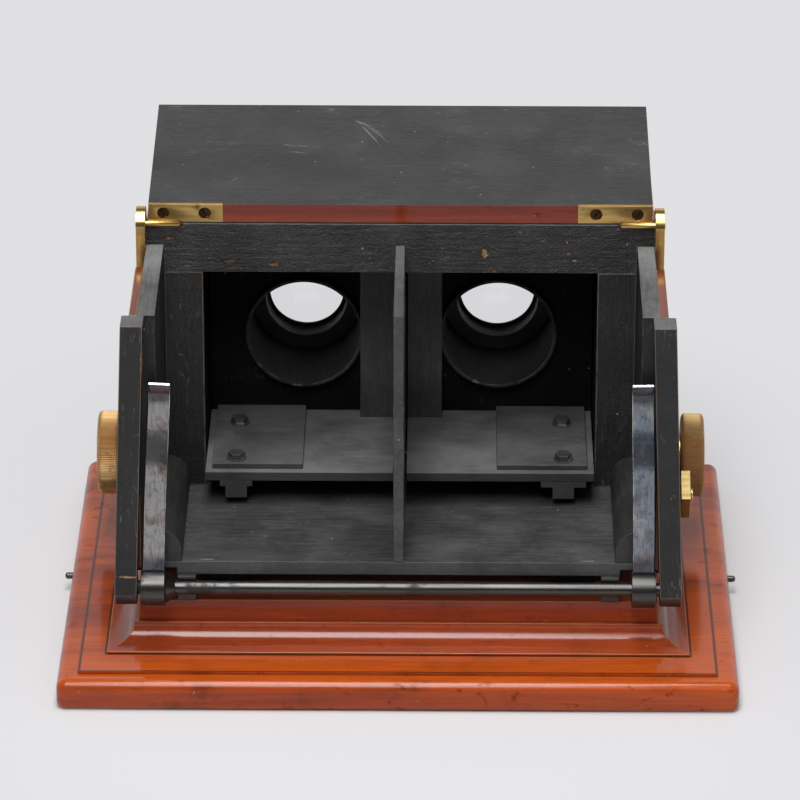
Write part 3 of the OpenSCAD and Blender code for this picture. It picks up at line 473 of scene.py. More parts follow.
def blued_spring_steel(name, node, blueness):
    """Spring steel with a mottled blue and brown oxide; its tip's edges are pale, as rubbed wear and a
    painted highlight, with a band of painted shade below the tip's curl and painted shade at its foot.
    """
    kit = settings().metal
    low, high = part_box(node)
    material, tree, shader, place = new_material(name)
    brush = use(tree, "Brush marks", {"Vector": turned(tree, place, "z"), "Length": 0.05, "Scale": 1300.0})
    up = add(tree, "ShaderNodeSeparateXYZ", {0: place}).outputs[2]
    near_tip = ramp(tree, up, high.z - 0.016, high.z - 0.002, 0.5, 1.0)
    wear = edge_wear(tree, place, 0.8, arris=maths(tree, "MULTIPLY", arris_of(tree), near_tip))
    cloud = noise(tree, place, 75.0, 5.0, 0.65, 0.6)
    blue = ramp(tree, cloud, 0.62 - blueness * 0.3, 0.78 - blueness * 0.3, 1.0, 0.0)
    tone = mix(tree, blue, kit.blued, tinted(kit.steel, 2.2))
    brown = ramp(tree, noise(tree, place, 120.0, 4.0, 0.6), 0.5, 0.66)
    tone = veil(tree, tone, (0.17, 0.105, 0.085), brown, 0.7)
    grime = ramp(tree, noise(tree, place, 330.0, 5.0, 0.7), 0.53, 0.66)
    tone = veil(tree, tone, (0.05, 0.05, 0.055), grime, 0.35)
    tone = mix(tree, ramp(tree, brush["Strokes"], 0.42, 0.7, 0.0, 0.5), tone, (0.07, 0.08, 0.1))
    # A dark band below the tip: painted shade of the tip's curl
    tone = veil(tree, tone, (0.03, 0.03, 0.035), line_mask(tree, up, high.z - 0.0065, 0.0045), 0.75)
    # Pale edges near the tip: rubbed wear and a painted highlight
    tone = mix(tree, wear["Rubbed"], tone, (0.72, 0.7, 0.67))
    # Darker at the foot, where the spring goes into its collar: painted shade
    tone = mix(tree, ramp(tree, up, low.z + 0.012, low.z + 0.006, 0.0, 0.75), tone, (0.03, 0.035, 0.05))
    rough = raised(tree, maths(tree, "MULTIPLY", brush["Strokes"], 0.25), grime, 0.2)
    set_shader(
        tree, shader, Base_Color=tone, Metallic=0.85, Roughness=rough,
        Normal=bumped(tree, brush["Strokes"], 0.2, 0.0002),
    )
    return material


def optical_glass():
    """Clear crown glass of the lenses, with a little dust."""
    material, tree, shader, place = new_material("optical_glass")
    dust = use(tree, "Dust", {"Vector": place, "Density": 0.25})
    set_shader(
        tree, shader, Base_Color=veil(tree, (0.97, 0.985, 0.98), (0.6, 0.58, 0.55), dust["Specks"], 0.4),
        Transmission_Weight=1.0, IOR=1.52, Roughness=maths(tree, "MULTIPLY", dust["Cloud"], 0.03),
    )
    return material


def looked_at(tree):
    """1 for the rays of the camera, of a mirror and of a lens."""
    path = add(tree, "ShaderNodeLightPath").outputs
    seen = maths(tree, "MAXIMUM", path["Is Glossy Ray"], path["Is Transmission Ray"])
    return maths(tree, "MAXIMUM", path["Is Camera Ray"], seen)


def studio_floor():
    """Pale floor with the object's shadow near it, which is seen as an even tone further off."""
    material, tree, shader, place = new_material("studio_floor")
    kit = settings().stage
    cloud = noise(tree, place, 1.2, 2.0, 0.4)
    pale = mix(tree, cloud, tinted(kit.floor, 0.985), tinted(kit.floor, 1.015))
    set_shader(tree, shader, Base_Color=pale, Roughness=0.9, Specular_IOR_Level=0.1)
    even = add(tree, "ShaderNodeEmission", {"Color": (*kit.backdrop, 1.0), "Strength": 1.0})
    away = add(tree, "ShaderNodeVectorMath", {0: place}, operation="LENGTH").outputs["Value"]
    far = maths(tree, "MULTIPLY", ramp(tree, away, 0.1, 0.3), looked_at(tree))
    blend = add(tree, "ShaderNodeMixShader", {0: far, 1: shader.outputs[0], 2: even.outputs[0]})
    output = next(entry for entry in tree.nodes if entry.bl_idname == "ShaderNodeOutputMaterial")
    tree.links.new(blend.outputs[0], output.inputs["Surface"])
    return material


def base_step_shade_and_dirt(tree, place):
    """Painted shade, with some dirt, in the corner of the base's low step and round the foot of the moulding.
    """
    edge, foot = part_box("base_board")[1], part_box("base_moulding")[1]
    step = box_lines(tree, place, edge.x - 0.0077, edge.y - 0.0074, 0.0008)
    return maths(tree, "MAXIMUM", step, box_lines(tree, place, foot.x + 0.0002, foot.y + 0.0002, 0.0009))


BARE_TONES = {
    "tan": (0.42, 0.25, 0.13), "rust": (0.24, 0.11, 0.055), "brown": (0.1, 0.055, 0.035),
    "dim": (0.2, 0.195, 0.19), "haze": (0.075, 0.074, 0.073),
}

# Chips and scratches: centre, half sizes, turn about Z in degrees, tone of what shows
MARKS = {
    "rail": (
        ((-0.0822, 0.0, 0.141), (0.0034, 0.01, 0.0011), 0, "rust"),
        ((-0.061, 0.0, 0.1322), (0.004, 0.01, 0.0016), 0, "brown"),
        ((-0.0675, 0.0, 0.1358), (0.0009, 0.01, 0.0006), 0, "rust"),
        ((-0.058, 0.0, 0.1297), (0.0085, 0.01, 0.0009), 0, "brown"),
        ((-0.045, 0.0, 0.131), (0.004, 0.01, 0.0012), 0, "rust"),
        ((-0.0135, 0.0, 0.1374), (0.0009, 0.01, 0.001), 0, "tan"),
        ((-0.011, 0.0, 0.1338), (0.0012, 0.01, 0.0008), 0, "rust"),
        ((0.0149, 0.0, 0.1378), (0.0011, 0.01, 0.0009), 0, "rust"),
        ((0.0302, 0.0, 0.1357), (0.002, 0.01, 0.0029), 0, "tan"),
        ((0.0337, 0.0, 0.1288), (0.0016, 0.01, 0.0008), 0, "rust"),
        ((0.06, 0.0, 0.1354), (0.0013, 0.01, 0.0013), 0, "rust"),
        ((0.0625, 0.0, 0.133), (0.0014, 0.01, 0.0006), 0, "tan"),
        ((0.0595, 0.0, 0.1402), (0.0005, 0.01, 0.0011), 0, "tan"),
    ),
    "post": (
        ((-0.0885, -0.0739, 0.122), (0.0012, 0.02, 0.01), 0, "rust"),
        ((-0.0955, -0.0739, 0.0425), (0.006, 0.02, 0.0006), 0, "tan"),
        ((0.0964, -0.0739, 0.136), (0.0005, 0.02, 0.004), 0, "rust"),
        ((0.0902, -0.0739, 0.073), (0.0018, 0.02, 0.004), 0, "brown"),
    ),
    "panel": (((0.0678, 0.03, 0.1), (0.0012, 0.06, 0.022), 0, "brown"),),
    "tube": (
        ((-0.0385, 0.033, 0.0685), (0.0035, 0.002, 0.0018), 0, "dim"),
        ((0.0272, 0.0335, 0.0702), (0.0022, 0.002, 0.0018), 0, "dim"),
        ((0.0175, 0.0335, 0.0755), (0.0028, 0.0025, 0.0014), 0, "haze"),
        ((-0.052, 0.0335, 0.0765), (0.0025, 0.0025, 0.002), 0, "haze"),
    ),
    "floor": (
        ((-0.0675, -0.0625, 0.0441), (0.0045, 0.0007, 0.003), 0, "dim"),
        ((0.0675, -0.0625, 0.0441), (0.0045, 0.0006, 0.003), 0, "dim"),
        ((0.0205, -0.063, 0.0441), (0.003, 0.0005, 0.003), 0, "haze"),
    ),
    "lid": (
        ((-0.0117, 0.055, 0.16), (0.014, 0.0004, 0.02), -66, "dim"),
        ((-0.0092, 0.0565, 0.16), (0.012, 0.0003, 0.02), -62, "dim"),
        ((-0.0145, 0.0635, 0.16), (0.006, 0.0007, 0.02), -38, "dim"),
        ((-0.0105, 0.0585, 0.16), (0.007, 0.0016, 0.02), -60, "haze"),
    ),
}

# Finishes: the values that each is built with
MAHOGANIES = {
    "mahogany_x": dict(axis="x", name="polished_mahogany_x"),
    "mahogany_z": dict(axis="z", name="polished_mahogany_z", tint=(0.5, 0.5, 0.8)),
    # The cheeks' mahogany is dark, part the wood's tone and part painted shade, with a mauve cast that is a
    # painted sheen
    "mahogany_cheek": dict(axis="y", name="dark_mahogany_y", tint=(0.32, 0.38, 1.2), stained=0.4),
    # The riser's mahogany is darker, as painted shade under the box, and bluer, as a painted reflection of
    # the room; the lid's edges and back take it too
    "mahogany_riser": dict(axis="x", name="riser_mahogany", tint=(0.72, 0.72, 2.2), stained=0.5),
    "mahogany_step": dict(axis="x", name="base_mahogany", lines=base_step_shade_and_dirt, stained=0.4),
    "mahogany_edge": dict(axis="x", name="edge_mahogany", tint=(0.95, 0.85, 0.9), stained=1.0, satin=0.22),
    "moulding_x": dict(
        axis="x", name="moulding_mahogany_x", tint=(0.82, 0.76, 1.6), stained=0.5, satin=0.19, gloss=1.5,
    ),
    # The moulding's mitred ends are darker: painted shade under the box and posts
    "moulding_y": dict(
        axis="y", name="moulding_mahogany_y", tint=(0.62, 0.6, 1.6), stained=0.5, satin=0.19, gloss=1.3,
    ),
}
PAINTS = {
    "paint_x": dict(axis="x", name="black_paint_x", rubbed=0.8),
    "paint_y": dict(axis="y", name="black_paint_y"),
    "paint_z": dict(axis="z", name="black_paint_z", rubbed=1.2, pale=0.65),
    "paint_block": dict(
        axis="y", name="block_paint", chips=0.3, rubbed=0.5, pale=1.7, tint=(0.16, 0.15, 0.14),
    ),
    "paint_dusty": dict(
        axis="x", name="dusty_paint_x", chips=0.1, marks=MARKS["floor"], rubbed=0.5, pale=3.3, relief=0.3,
        tint=(0.14, 0.13, 0.12),
    ),
    "paint_septum": dict(axis="y", name="septum_paint", rubbed=0.8, pale=3.4, tint=(0.2, 0.15, 0.11)),
    "paint_blind": dict(
        axis="z", name="blind_paint", chips=0.2, rubbed=0.8, pale=3.5, tint=(0.15, 0.13, 0.11),
    ),
    # Darker paint for the parts deep inside and under the box: painted shade
    "paint_deep": dict(
        axis="z", name="deep_paint", chips=0.0, gloss=-0.25, rubbed=0.2, pale=0.35, sheen=0.1, scratched=0.2,
    ),
    "paint_tube": dict(
        axis="y", name="tube_black", chips=0.0, gloss=-0.2, marks=MARKS["tube"], rubbed=1.2, pale=1.5,
        sheen=0.2, scratched=0.3, tint=(0.2, 0.19, 0.18),
    ),
    "paint_lid": dict(
        axis="x", name="black_paint_lid", chips=0.03, gloss=0.06, marks=MARKS["lid"], pale=1.75,
        scratched=0.8, relief=0.25,
    ),
    "paint_rail": dict(
        axis="x", name="black_paint_rail", chips=0.7, gloss=0.08, marks=MARKS["rail"], rubbed=1.6, pale=2.3,
        scratched=1.0, relief=1.2, tint=(0.15, 0.12, 0.1),
    ),
    "paint_post": dict(
        axis="z", name="black_paint_post", chips=0.55, gloss=0.05, marks=MARKS["post"], rubbed=2.5, pale=0.75,
        scratched=1.0, relief=0.6,
    ),
    "paint_panel": dict(
        axis="z", name="panel_paint", chips=0.4, marks=MARKS["panel"], rubbed=1.5, pale=1.1, scratched=0.8,
        relief=0.7, tint=(0.16, 0.11, 0.08),
    ),
    # The tops of the walls and posts take a far paler paint, and the rail's top a paler one still: painted
    # light from above, with rubbing on the walls and posts
    "paint_top": dict(
        axis="y", name="rubbed_paint", chips=0.5, gloss=0.1, pale=6.0, relief=0.25, tint=(0.24, 0.15, 0.09),
    ),
    "paint_rail_top": dict(
        axis="x", name="rubbed_rail_paint", chips=0.0, gloss=0.1, rubbed=0.0, pale=9.0, relief=0.3,
        tint=(0.14, 0.11, 0.1),
    ),
}
IRONS = {
    "iron_x": dict(name="black_iron_x", axis="x"),
    "iron_y": dict(name="black_iron_y", axis="y"),
    # The plates' and doublers' tops are paler: dust, and painted light from above
    "iron_dusty": dict(name="dusty_iron_x", axis="x", pale=3.0),
    "iron_dusty_y": dict(name="dusty_iron_y", axis="x", pale=2.0),
    "iron_deep": dict(name="deep_iron", axis="y", pale=0.95, sheen=0.2),
}
METALS = {
    "brass": dict(
        name="aged_brass", clean=("brass", 1.0), stained=("tarnish", 1.0), roughness=0.3, patina=0.45,
    ),
    "brass_bright": dict(
        name="bright_brass", clean=("brass", 1.25), stained=("tarnish", 1.0), roughness=0.24, patina=0.25,
    ),
    "brass_clamp": dict(
        name="clamp_brass", clean=("brass", (0.62, 0.7, 0.8)), stained=("tarnish", 1.0), roughness=0.42,
        patina=0.4,
    ),
    "brass_knob": dict(
        name="knob_brass", clean=("brass", (1.1, 1.1, 1.45)), stained=("tarnish", 1.9), roughness=0.58,
        patina=0.65,
    ),
    "brass_dull": dict(
        name="dull_brass", clean=("brass", (1.05, 1.1, 1.5)), stained=("tarnish", 2.2), roughness=0.6,
        patina=0.7,
    ),
    "steel": dict(
        name="worn_steel", clean=("steel", 0.6), stained=("steel", 0.24), roughness=0.34, patina=0.5,
    ),
    "screw": dict(
        name="dark_screw", clean=("tarnish", 0.35), stained=("tarnish", (0.095, 0.148, 0.311)),
        roughness=0.42, patina=0.6, brushing=1200.0,
    ),
}
SPRINGS = {
    "spring_l": dict(name="grey_spring_steel", node="clip_spring_l", blueness=0.35),
    "spring_r": dict(name="blued_spring_steel", node="clip_spring_r", blueness=0.8),
}
BUILDERS = (
    (MAHOGANIES, polished_mahogany), (PAINTS, black_paint), (IRONS, black_iron), (METALS, metal),
    (SPRINGS, blued_spring_steel), ({"glass": {}}, optical_glass), ({"floor": {}}, studio_floor),
)
MATERIALS = {}


def material(name):
    """The named finish, built when a piece first asks for it."""
    if name not in MATERIALS:
        table, build = next(pair for pair in BUILDERS if name in pair[0])
        MATERIALS[name] = build(**table[name])
    return MATERIALS[name]


# Pieces

# Corners nearer than WELD are joined, and faces that bend less than FLAT are merged. An edge that bends
# more than the crease is sharp: ROUND_CREASE is for pieces with turned or bent faces
WELD, FLAT = 2e-6, math.radians(0.3)
CREASE, ROUND_CREASE = math.radians(28), math.radians(40)


def softened(node, radius, crease):
    """A copy of a CAD node with its outer edges rounded, and the rounding marked as arris."""
    shape = bmesh.new()
    shape.from_mesh(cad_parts[node].data)
    bmesh.ops.remove_doubles(shape, verts=shape.verts, dist=WELD)
    bmesh.ops.dissolve_limit(shape, angle_limit=FLAT, verts=shape.verts, edges=shape.edges)
    weight = shape.edges.layers.float.new("bevel_weight_edge")
    for edge in shape.edges:
        if len(edge.link_faces) == 2 and edge.is_convex and edge.calc_face_angle(0.0) > crease:
            edge[weight] = 1.0
    data = bpy.data.meshes.new(node + "_finish")
    shape.to_mesh(data)
    shape.free()
    data.shade_smooth()
    data.set_sharp_from_angle(angle=crease)
    data.materials.append(None)
    data.materials.append(None)
    piece = bpy.data.objects.new(node + "_finish", data)
    bpy.context.scene.collection.objects.link(piece)
    bevel = piece.modifiers.new("arris", "BEVEL")
    bevel.limit_method = "WEIGHT"
    bevel.width = radius
    bevel.segments = 2
    bevel.harden_normals = True
    bevel.material = 1
    bevel.use_clamp_overlap = True
    return settle(piece)


def settle(piece):
    """Turns a piece's modifiers into a plain mesh, with the rounding marked as arris."""
    graph = bpy.context.evaluated_depsgraph_get()
    made = bpy.data.meshes.new_from_object(
        piece.evaluated_get(graph), preserve_all_data_layers=True, depsgraph=graph
    )
    piece.modifiers.clear()
    old = piece.data
    piece.data = made
    bpy.data.meshes.remove(old)
    made.name = piece.name
    marks = made.attributes.get("arris") or made.attributes.new("arris", "FLOAT", "FACE")
    for face in made.polygons:
        marks.data[face.index].value = float(face.material_index == 1)
        face.material_index = 0
    return piece


def finish_piece(piece, node, body, slot, *finishes, rule=None):
    """Gives a piece its finishes and body, in place of its CAD node; slot is not used."""
    piece.data.materials.clear()
    for name in finishes:
        piece.data.materials.append(material(name))
    if rule:
        for face in piece.data.polygons:
            face.material_index = rule(face.center, face.normal)
    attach(piece, body)
    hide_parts(node)


def dress(node, body, slot, radius, *finishes, rule=None, crease=CREASE):
    """A softened copy of one CAD node, finished."""
    finish_piece(softened(node, radius, crease), node, body, slot, *finishes, rule=rule)


def dress_round(node, body, slot, radius, finish):
    """A softened copy of one CAD node that has turned or bent faces, finished."""
    dress(node, body, slot, radius, finish, crease=ROUND_CREASE)


def repaint(node, name):
    """Puts a finish on a CAD node that stays."""
    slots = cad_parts[node].material_slots
    for entry in slots:
        entry.material = material(name)
    if not slots:
        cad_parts[node].data.materials.append(material(name))


def top_face(centre, normal):
    """1 for the faces that look up."""
    return int(normal.z > 0.7)


# The ribs of a knob start RIB_START inside its radius, and are at their full depth RIB_FADE further out
RIB_START, RIB_FADE = 0.0016, 0.0011


def ribbed_knob_tree():
    """Geometry nodes that cut ribs round a turned knob."""
    tree = bpy.data.node_groups.new("Ribbed knob", "GeometryNodeTree")
    kinds = {"Geometry": "Geometry", "Ribs": "Int", "Depth": "Float", "Radius": "Float", "Centre": "Vector"}
    sockets(tree, "INPUT", kinds)
    sockets(tree, "OUTPUT", {"Geometry": "Geometry"})
    inputs = tree.nodes.new("NodeGroupInput").outputs
    position = add(tree, "GeometryNodeInputPosition").outputs[0]
    away = add(tree, "ShaderNodeVectorMath", {0: position, 1: inputs["Centre"]}, operation="SUBTRACT")
    parts = add(tree, "ShaderNodeSeparateXYZ", {0: away.outputs[0]}).outputs
    flat = add(tree, "ShaderNodeCombineXYZ", {0: 0.0, 1: parts[1], 2: parts[2]}).outputs[0]
    reach = add(tree, "ShaderNodeVectorMath", {0: flat}, operation="LENGTH").outputs["Value"]
    outward = add(tree, "ShaderNodeVectorMath", {0: flat}, operation="NORMALIZE").outputs[0]
    angle = maths(tree, "ARCTAN2", parts[2], parts[1])
    wave = maths(tree, "COSINE", maths(tree, "MULTIPLY", angle, inputs["Ribs"]))
    wave = maths(tree, "MULTIPLY", maths(tree, "SUBTRACT", 1.0, wave), 0.5)
    rim = maths(tree, "SUBTRACT", reach, maths(tree, "SUBTRACT", inputs["Radius"], RIB_START))
    rim = maths(tree, "DIVIDE", rim, RIB_FADE, True)
    inward = maths(tree, "MULTIPLY", inputs["Depth"], -1.0)
    cut = maths(tree, "MULTIPLY", maths(tree, "MULTIPLY", wave, rim), inward)
    shift = add(tree, "ShaderNodeVectorMath", {0: outward, "Scale": cut}, operation="SCALE").outputs[0]
    moved = add(tree, "GeometryNodeSetPosition", {"Geometry": inputs["Geometry"], "Offset": shift})
    real = add(tree, "GeometryNodeRealizeInstances", {0: moved.outputs[0]})
    painted = add(tree, "GeometryNodeSetMaterial", {0: real.outputs[0]})
    add(tree, "NodeGroupOutput", {0: painted.outputs[0]})
    return tree


def set_input(modifier, label, value):
    """Sets a geometry nodes modifier's input by its socket's identifier."""
    for item in modifier.node_group.interface.items_tree:
        if item.item_type == "SOCKET" and item.in_out == "INPUT" and item.name == label:
            modifier[item.identifier] = value
            return
    raise KeyError(label)


def lathe(name, outline, centre, turns):
    """A closed shape turned about X from (x, radius) points."""
    shape = bmesh.new()
    rings = []
    for x, radius in outline:
        rings.append([
            shape.verts.new((x, centre.y + radius * math.cos(a), centre.z + radius * math.sin(a)))
            for a in (2 * math.pi * i / turns for i in range(turns))
        ])
    for here, there in zip(rings, rings[1:] + rings[:1]):
        for i in range(turns):
            k = (i + 1) % turns
            shape.faces.new((here[i], here[k], there[k], there[i]))
    bmesh.ops.recalc_face_normals(shape, faces=shape.faces)
    data = bpy.data.meshes.new(name)
    shape.to_mesh(data)
    shape.free()
    data.shade_smooth()
    piece = bpy.data.objects.new(name, data)
    bpy.context.scene.collection.objects.link(piece)
    return piece


def focus_knob(node, finish):
    """A turned brass knob with a fine ribbed rim."""
    kit = settings().knob
    low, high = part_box(node)
    centre = (low + high) / 2
    radius = (high.z - low.z) / 2
    side = 1 if centre.x > 0 else -1
    inner, outer = (low.x, high.x) if side > 0 else (high.x, low.x)
    bore = 0.00155
    across = abs(outer - inner)
    # Half of the knob's section: distance from its inner face, radius
    plan = [
        (0.0, bore), (0.0, radius - 0.0013), (0.0003, radius - 0.0006), (0.0009, radius),
        (across - 0.0010, radius), (across - 0.0004, radius - 0.0005), (across, radius - 0.0013),
        (across, radius * 0.78), (across - 0.0010, radius * 0.75), (across - 0.0012, radius * 0.70),
        (across - 0.0012, radius * 0.40), (across - 0.0010, radius * 0.36), (across, radius * 0.33),
        (across, bore),
    ]
    rows = []
    for (x, r), (x2, r2) in zip(plan, plan[1:]):
        parts = 6 if abs(x2 - x) > 0.004 else 1
        rows += [(x + (x2 - x) * k / parts, r + (r2 - r) * k / parts) for k in range(parts)]
    rows.append(plan[-1])
    piece = lathe(node + "_turned", [(inner + side * x, r) for x, r in rows], centre, kit.ribs * 4)
    ribs = piece.modifiers.new("ribs", "NODES")
    ribs.node_group = bpy.data.node_groups.get("Ribbed knob") or ribbed_knob_tree()
    set_input(ribs, "Ribs", kit.ribs)
    set_input(ribs, "Depth", kit.depth)
    set_input(ribs, "Radius", radius)
    set_input(ribs, "Centre", centre)
    for entry in ribs.node_group.nodes:
        if entry.bl_idname == "GeometryNodeSetMaterial":
            entry.inputs["Material"].default_value = material(finish)
    settle(piece)
    piece.data.set_sharp_from_angle(angle=ROUND_CREASE)
    finish_piece(piece, node, "focus", "brass", finish)


# Operators

LAMP_PLACE, LAMP_SIZE, LAMP_TARGET = (-0.05, -0.45, 1.25), (0.42, 1.45), (0.0, -0.1, 0.05)
CAMERA_PLACE, CAMERA_LENS = (0.0164, -1.7806, 0.8762), 243.0
CAMERA_DOWN, CAMERA_LEFT, CAMERA_ROLL = 24.14, 0.53, 0.05
FLOOR_HALF = 6.0


class StageOperator(bpy.types.Operator):
    """Builds the pale studio floor, the soft light and the camera"""

    bl_idname = "stereoscope.stage"
    bl_label = "Stage"

    def execute(self, context):
        kit = settings().stage
        data = bpy.data.meshes.new("floor")
        shape = bmesh.new()
        bmesh.ops.create_grid(shape, x_segments=8, y_segments=8, size=FLOOR_HALF)
        shape.to_mesh(data)
        shape.free()
        floor = bpy.data.objects.new("floor", data)
        context.scene.collection.objects.link(floor)
        data.materials.append(material("floor"))

        world = bpy.data.worlds.new("room")
        context.scene.world = world
        world.use_nodes = True
        tree = world.node_tree
        tree.nodes.clear()
        even = add(tree, "ShaderNodeBackground", {"Color": (1.0, 1.0, 1.01, 1.0), "Strength": kit.sky})
        around = add(tree, "ShaderNodeTexCoord").outputs["Generated"]
        way = add(tree, "ShaderNodeSeparateXYZ", {0: around}).outputs
        low = ramp(tree, way[2], 0.5, 0.8, 1.0, 0.0)
        behind = maths(tree, "MULTIPLY", ramp(tree, way[1], -0.2, 0.15), low)
        tone = mix(tree, behind, (0.07, 0.07, 0.075), kit.backdrop)
        seen = add(tree, "ShaderNodeBackground", {"Color": tone, "Strength": 1.0})
        blend = add(tree, "ShaderNodeMixShader", {0: looked_at(tree), 1: even.outputs[0], 2: seen.outputs[0]})
        add(tree, "ShaderNodeOutputWorld", {0: blend.outputs[0]})

        self.lamp(context, kit.lamp)
        self.camera(context)
        context.scene.view_settings.view_transform = "Standard"
        return {"FINISHED"}

    def lamp(self, context, radiance):
        """Hangs the soft lamp over the object."""
        light = bpy.data.lights.new("overhead_lamp", "AREA")
        light.shape = "RECTANGLE"
        light.size, light.size_y = LAMP_SIZE
        light.energy = radiance * math.pi * light.size * light.size_y
        lamp = bpy.data.objects.new("overhead_lamp", light)
        lamp.location = LAMP_PLACE
        lamp.rotation_euler = (Vector(LAMP_TARGET) - Vector(LAMP_PLACE)).to_track_quat("-Z", "Y").to_euler()
        context.scene.collection.objects.link(lamp)

    def camera(self, context):
        """Sets the camera as the photo was taken."""
        lens = bpy.data.cameras.new("camera")
        lens.sensor_width = 36.0
        lens.lens = CAMERA_LENS
        lens.clip_end = 50.0
        camera = bpy.data.objects.new("camera", lens)
        turn = (
            Matrix.Rotation(math.radians(CAMERA_LEFT), 4, "Z")
            @ Matrix.Rotation(math.radians(90.0 - CAMERA_DOWN), 4, "X")
            @ Matrix.Rotation(math.radians(CAMERA_ROLL), 4, "Z")
        )
        camera.matrix_world = Matrix.Translation(CAMERA_PLACE) @ turn
        context.scene.collection.objects.link(camera)
        context.scene.camera = camera


class BaseOperator(bpy.types.Operator):
    """Polishes the mahogany base, its moulding and riser, and its two catch pins"""

    bl_idname = "stereoscope.base"
    bl_label = "Base"

    def execute(self, context):
        radius = settings().mahogany.arris
        dress("base_board", "box", "mahogany", radius, "mahogany_edge", "mahogany_step", rule=top_face)
        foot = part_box("base_moulding")[1]
        mitre = foot.x - foot.y

        def by_mitre(centre, normal):
            return int(abs(centre.x) - abs(centre.y) > mitre)

        dress("base_moulding", "box", "mahogany", radius * 0.6, "moulding_x", "moulding_y", rule=by_mitre)
        # The riser takes the darker, bluer mahogany: painted shade and painted reflection
        dress("base_riser", "box", "mahogany", radius, "mahogany_riser")
        dress("catch_pins", "box", "steel", 0.0002, "steel")
        return {"FINISHED"}


class BoxOperator(bpy.types.Operator):
    """Paints the box black inside and polishes it outside"""

    bl_idname = "stereoscope.box"
    bl_label = "Box"

    def execute(self, context):
        radius = settings().paint.arris
        inner_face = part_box("eye_board")[0].y

        def roof_outside(centre, normal):
            return int(normal.z > 0.3 or normal.y > 0.6)

        def eye_side(centre, normal):
            return int(normal.y > -0.6 and centre.y > inner_face + 0.001)

        for side, sign in (("l", -1), ("r", 1)):
            def faces(centre, normal, sign=sign):
                return 1 if normal.x * sign > 0.6 or normal.y > 0.7 else 2 * int(normal.z > 0.3)

            # The tops of the walls and posts take the pale top paint: painted light from above, with rubbing
            wall = f"side_wall_{side}"
            dress(wall, "box", "black_wood", radius, "paint_z", "mahogany_z", "paint_top", rule=faces)
            dress(f"side_cheek_{side}", "box", "mahogany", radius, "mahogany_cheek")
            dress(f"post_{side}", "box", "black_wood", radius * 1.3, "paint_post", "paint_top", rule=top_face)
        # The rail's top takes a paler paint: painted light from above
        dress("top_rail", "box", "black_wood", radius * 1.2, "paint_rail", "paint_rail_top", rule=top_face)
        dress("top_board", "box", "mahogany", radius, "paint_x", "mahogany_x", rule=roof_outside)
        # The chamber walls and bearers take the darker deep paint: painted shade
        for node, finish in (
            ("septum", "paint_septum"), ("floor_board", "paint_dusty"), ("corner_blocks", "paint_block"),
            ("outer_panels", "paint_panel"), ("chamber_walls", "paint_deep"), ("bearers", "paint_deep"),
        ):
            dress(node, "box", "black_wood", radius, finish)
        dress("eye_board", "box", "mahogany", radius, "paint_x", "mahogany_x", rule=eye_side)
        return {"FINISHED"}


class LidOperator(bpy.types.Operator):
    """Paints the lid's inner face and polishes its edges and back"""

    bl_idname = "stereoscope.lid"
    bl_label = "Lid"

    def execute(self, context):
        radius = settings().mahogany.arris

        def inner_face(centre, normal):
            return int(normal.z < 0.7)

        # The lid's edges and back take the riser's mahogany, with its painted shade and painted reflection
        dress("lid", "lid", "mahogany", radius, "paint_lid", "mahogany_riser", rule=inner_face)
        return {"FINISHED"}


class HingeOperator(bpy.types.Operator):
    """Finishes the brass straps, pivots, plates and their screws"""

    bl_idname = "stereoscope.hinges"
    bl_label = "Hinges"

    def execute(self, context):
        radius = settings().metal.arris
        for side in "lr":
            dress_round(f"hinge_strap_{side}", "lid", "brass", radius, "brass")
            dress_round(f"hinge_cheek_{side}", "box", "brass", radius * 1.6, "brass_bright")
        dress_round("hinge_screws", "lid", "steel", 0.0001, "screw")
        dress_round("cheek_screws", "box", "steel", 0.0001, "screw")
        return {"FINISHED"}


class CardClipOperator(bpy.types.Operator):
    """Finishes the rod, collars and blued leaf springs that hold the card"""

    bl_idname = "stereoscope.card_clip"
    bl_label = "Card clip"

    def execute(self, context):
        radius = settings().metal.arris
        dress_round("clip_rod", "clip", "steel", 0.0002, "steel")
        for side in "lr":
            dress_round(f"clip_collar_{side}", "clip", "steel", radius, "steel")
            dress_round(f"clip_spring_{side}", "clip", "steel", 0.0002, f"spring_{side}")
        dress_round("rod_bushes", "box", "steel", radius, "steel")
        dress("rod_saddles", "box", "black_iron", radius, "iron_x")
        return {"FINISHED"}


class CarriagesOperator(bpy.types.Operator):
    """Finishes the two sliding lens carriages"""

    bl_idname = "stereoscope.carriages"
    bl_label = "Lens carriages"

    def execute(self, context):
        radius = settings().metal.arris
        for side, body in (("l", "carriage_left"), ("r", "carriage_right")):
            # The plates' and doublers' tops take the paler iron: dust with painted top light
            dress(f"carriage_plate_{side}", body, "black_iron", 0.0004, "iron_x", "iron_dusty", rule=top_face)
            dress(f"doubler_{side}", body, "black_iron", 0.0004, "iron_x", "iron_dusty_y", rule=top_face)
            dress_round(f"plate_bolts_{side}", body, "black_iron", 0.0002, "iron_x")
            # The lens boards take the darker deep paint: painted shade
            dress(f"lens_board_{side}", body, "black_wood", radius, "paint_deep")
            dress(f"light_blind_{side}", body, "black_wood", radius, "paint_blind")
            dress_round(f"lens_tube_{side}", body, "black_iron", 0.0002, "paint_tube")
            dress_round(f"lens_cell_{side}", body, "black_iron", 0.0002, "iron_deep")
            dress_round(f"eyecup_{side}", body, "black_wood", radius, "paint_y")
            repaint(f"rack_{side}", "iron_y")
            repaint(f"lens_{side}", "glass")
        return {"FINISHED"}


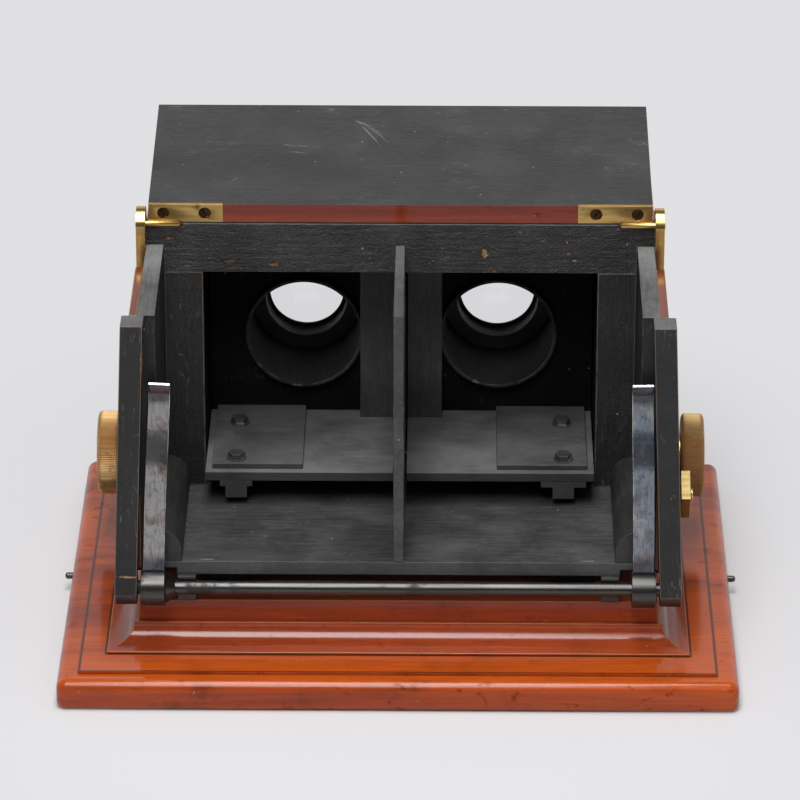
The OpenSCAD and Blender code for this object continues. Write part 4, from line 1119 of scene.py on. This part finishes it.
class FocusingOperator(bpy.types.Operator):
    """Turns the ribbed knobs and finishes the shaft, pinions and bushes"""

    bl_idname = "stereoscope.focusing"
    bl_label = "Focusing"

    def execute(self, context):
        radius = settings().metal.arris
        focus_knob("knob_l", "brass_knob")
        focus_knob("knob_r", "brass_dull")
        repaint("focus_shaft", "steel")
        repaint("pinions", "brass")
        dress_round("shaft_bushes", "box", "brass", radius, "brass")
        return {"FINISHED"}


class ClampOperator(bpy.types.Operator):
    """Finishes the clamp's stud and its square nut"""

    bl_idname = "stereoscope.clamp"
    bl_label = "Clamp"

    def execute(self, context):
        radius = settings().metal.arris
        dress_round("clamp_stud", "box", "brass", radius, "brass_bright")
        dress_round("clamp_nut", "clamp", "brass", radius * 1.6, "brass_clamp")
        return {"FINISHED"}


OPERATORS = (
    StageOperator, BaseOperator, BoxOperator, LidOperator, HingeOperator,
    CardClipOperator, CarriagesOperator, FocusingOperator, ClampOperator,
)


class StereoscopePanel(bpy.types.Panel):
    """The stereoscope's pieces and finishes"""

    bl_idname = "VIEW3D_PT_stereoscope"
    bl_label = "Stereoscope"
    bl_space_type = "VIEW_3D"
    bl_region_type = "UI"
    bl_category = "Stereoscope"

    def draw(self, context):
        kit = context.scene.stereoscope
        for part in (kit.mahogany, kit.paint, kit.metal, kit.knob, kit.stage):
            box = self.layout.box()
            for name in part.__annotations__:
                box.prop(part, name)
        for operator in OPERATORS:
            self.layout.operator(operator.bl_idname)


CLASSES = (
    MahoganySettings, PaintSettings, MetalSettings, KnobSettings, StageSettings,
    StereoscopeSettings, *OPERATORS, StereoscopePanel,
)


def register():
    for each in CLASSES:
        bpy.utils.register_class(each)
    bpy.types.Scene.stereoscope = PointerProperty(type=StereoscopeSettings)


def unregister():
    del bpy.types.Scene.stereoscope
    for each in reversed(CLASSES):
        bpy.utils.unregister_class(each)


def main():
    register()
    for name, labels, build in GROUPS:
        group(name, labels, build)
    for operator in OPERATORS:
        getattr(bpy.ops.stereoscope, operator.bl_idname.split(".")[1])()


if __name__ == "__main__":
    main()
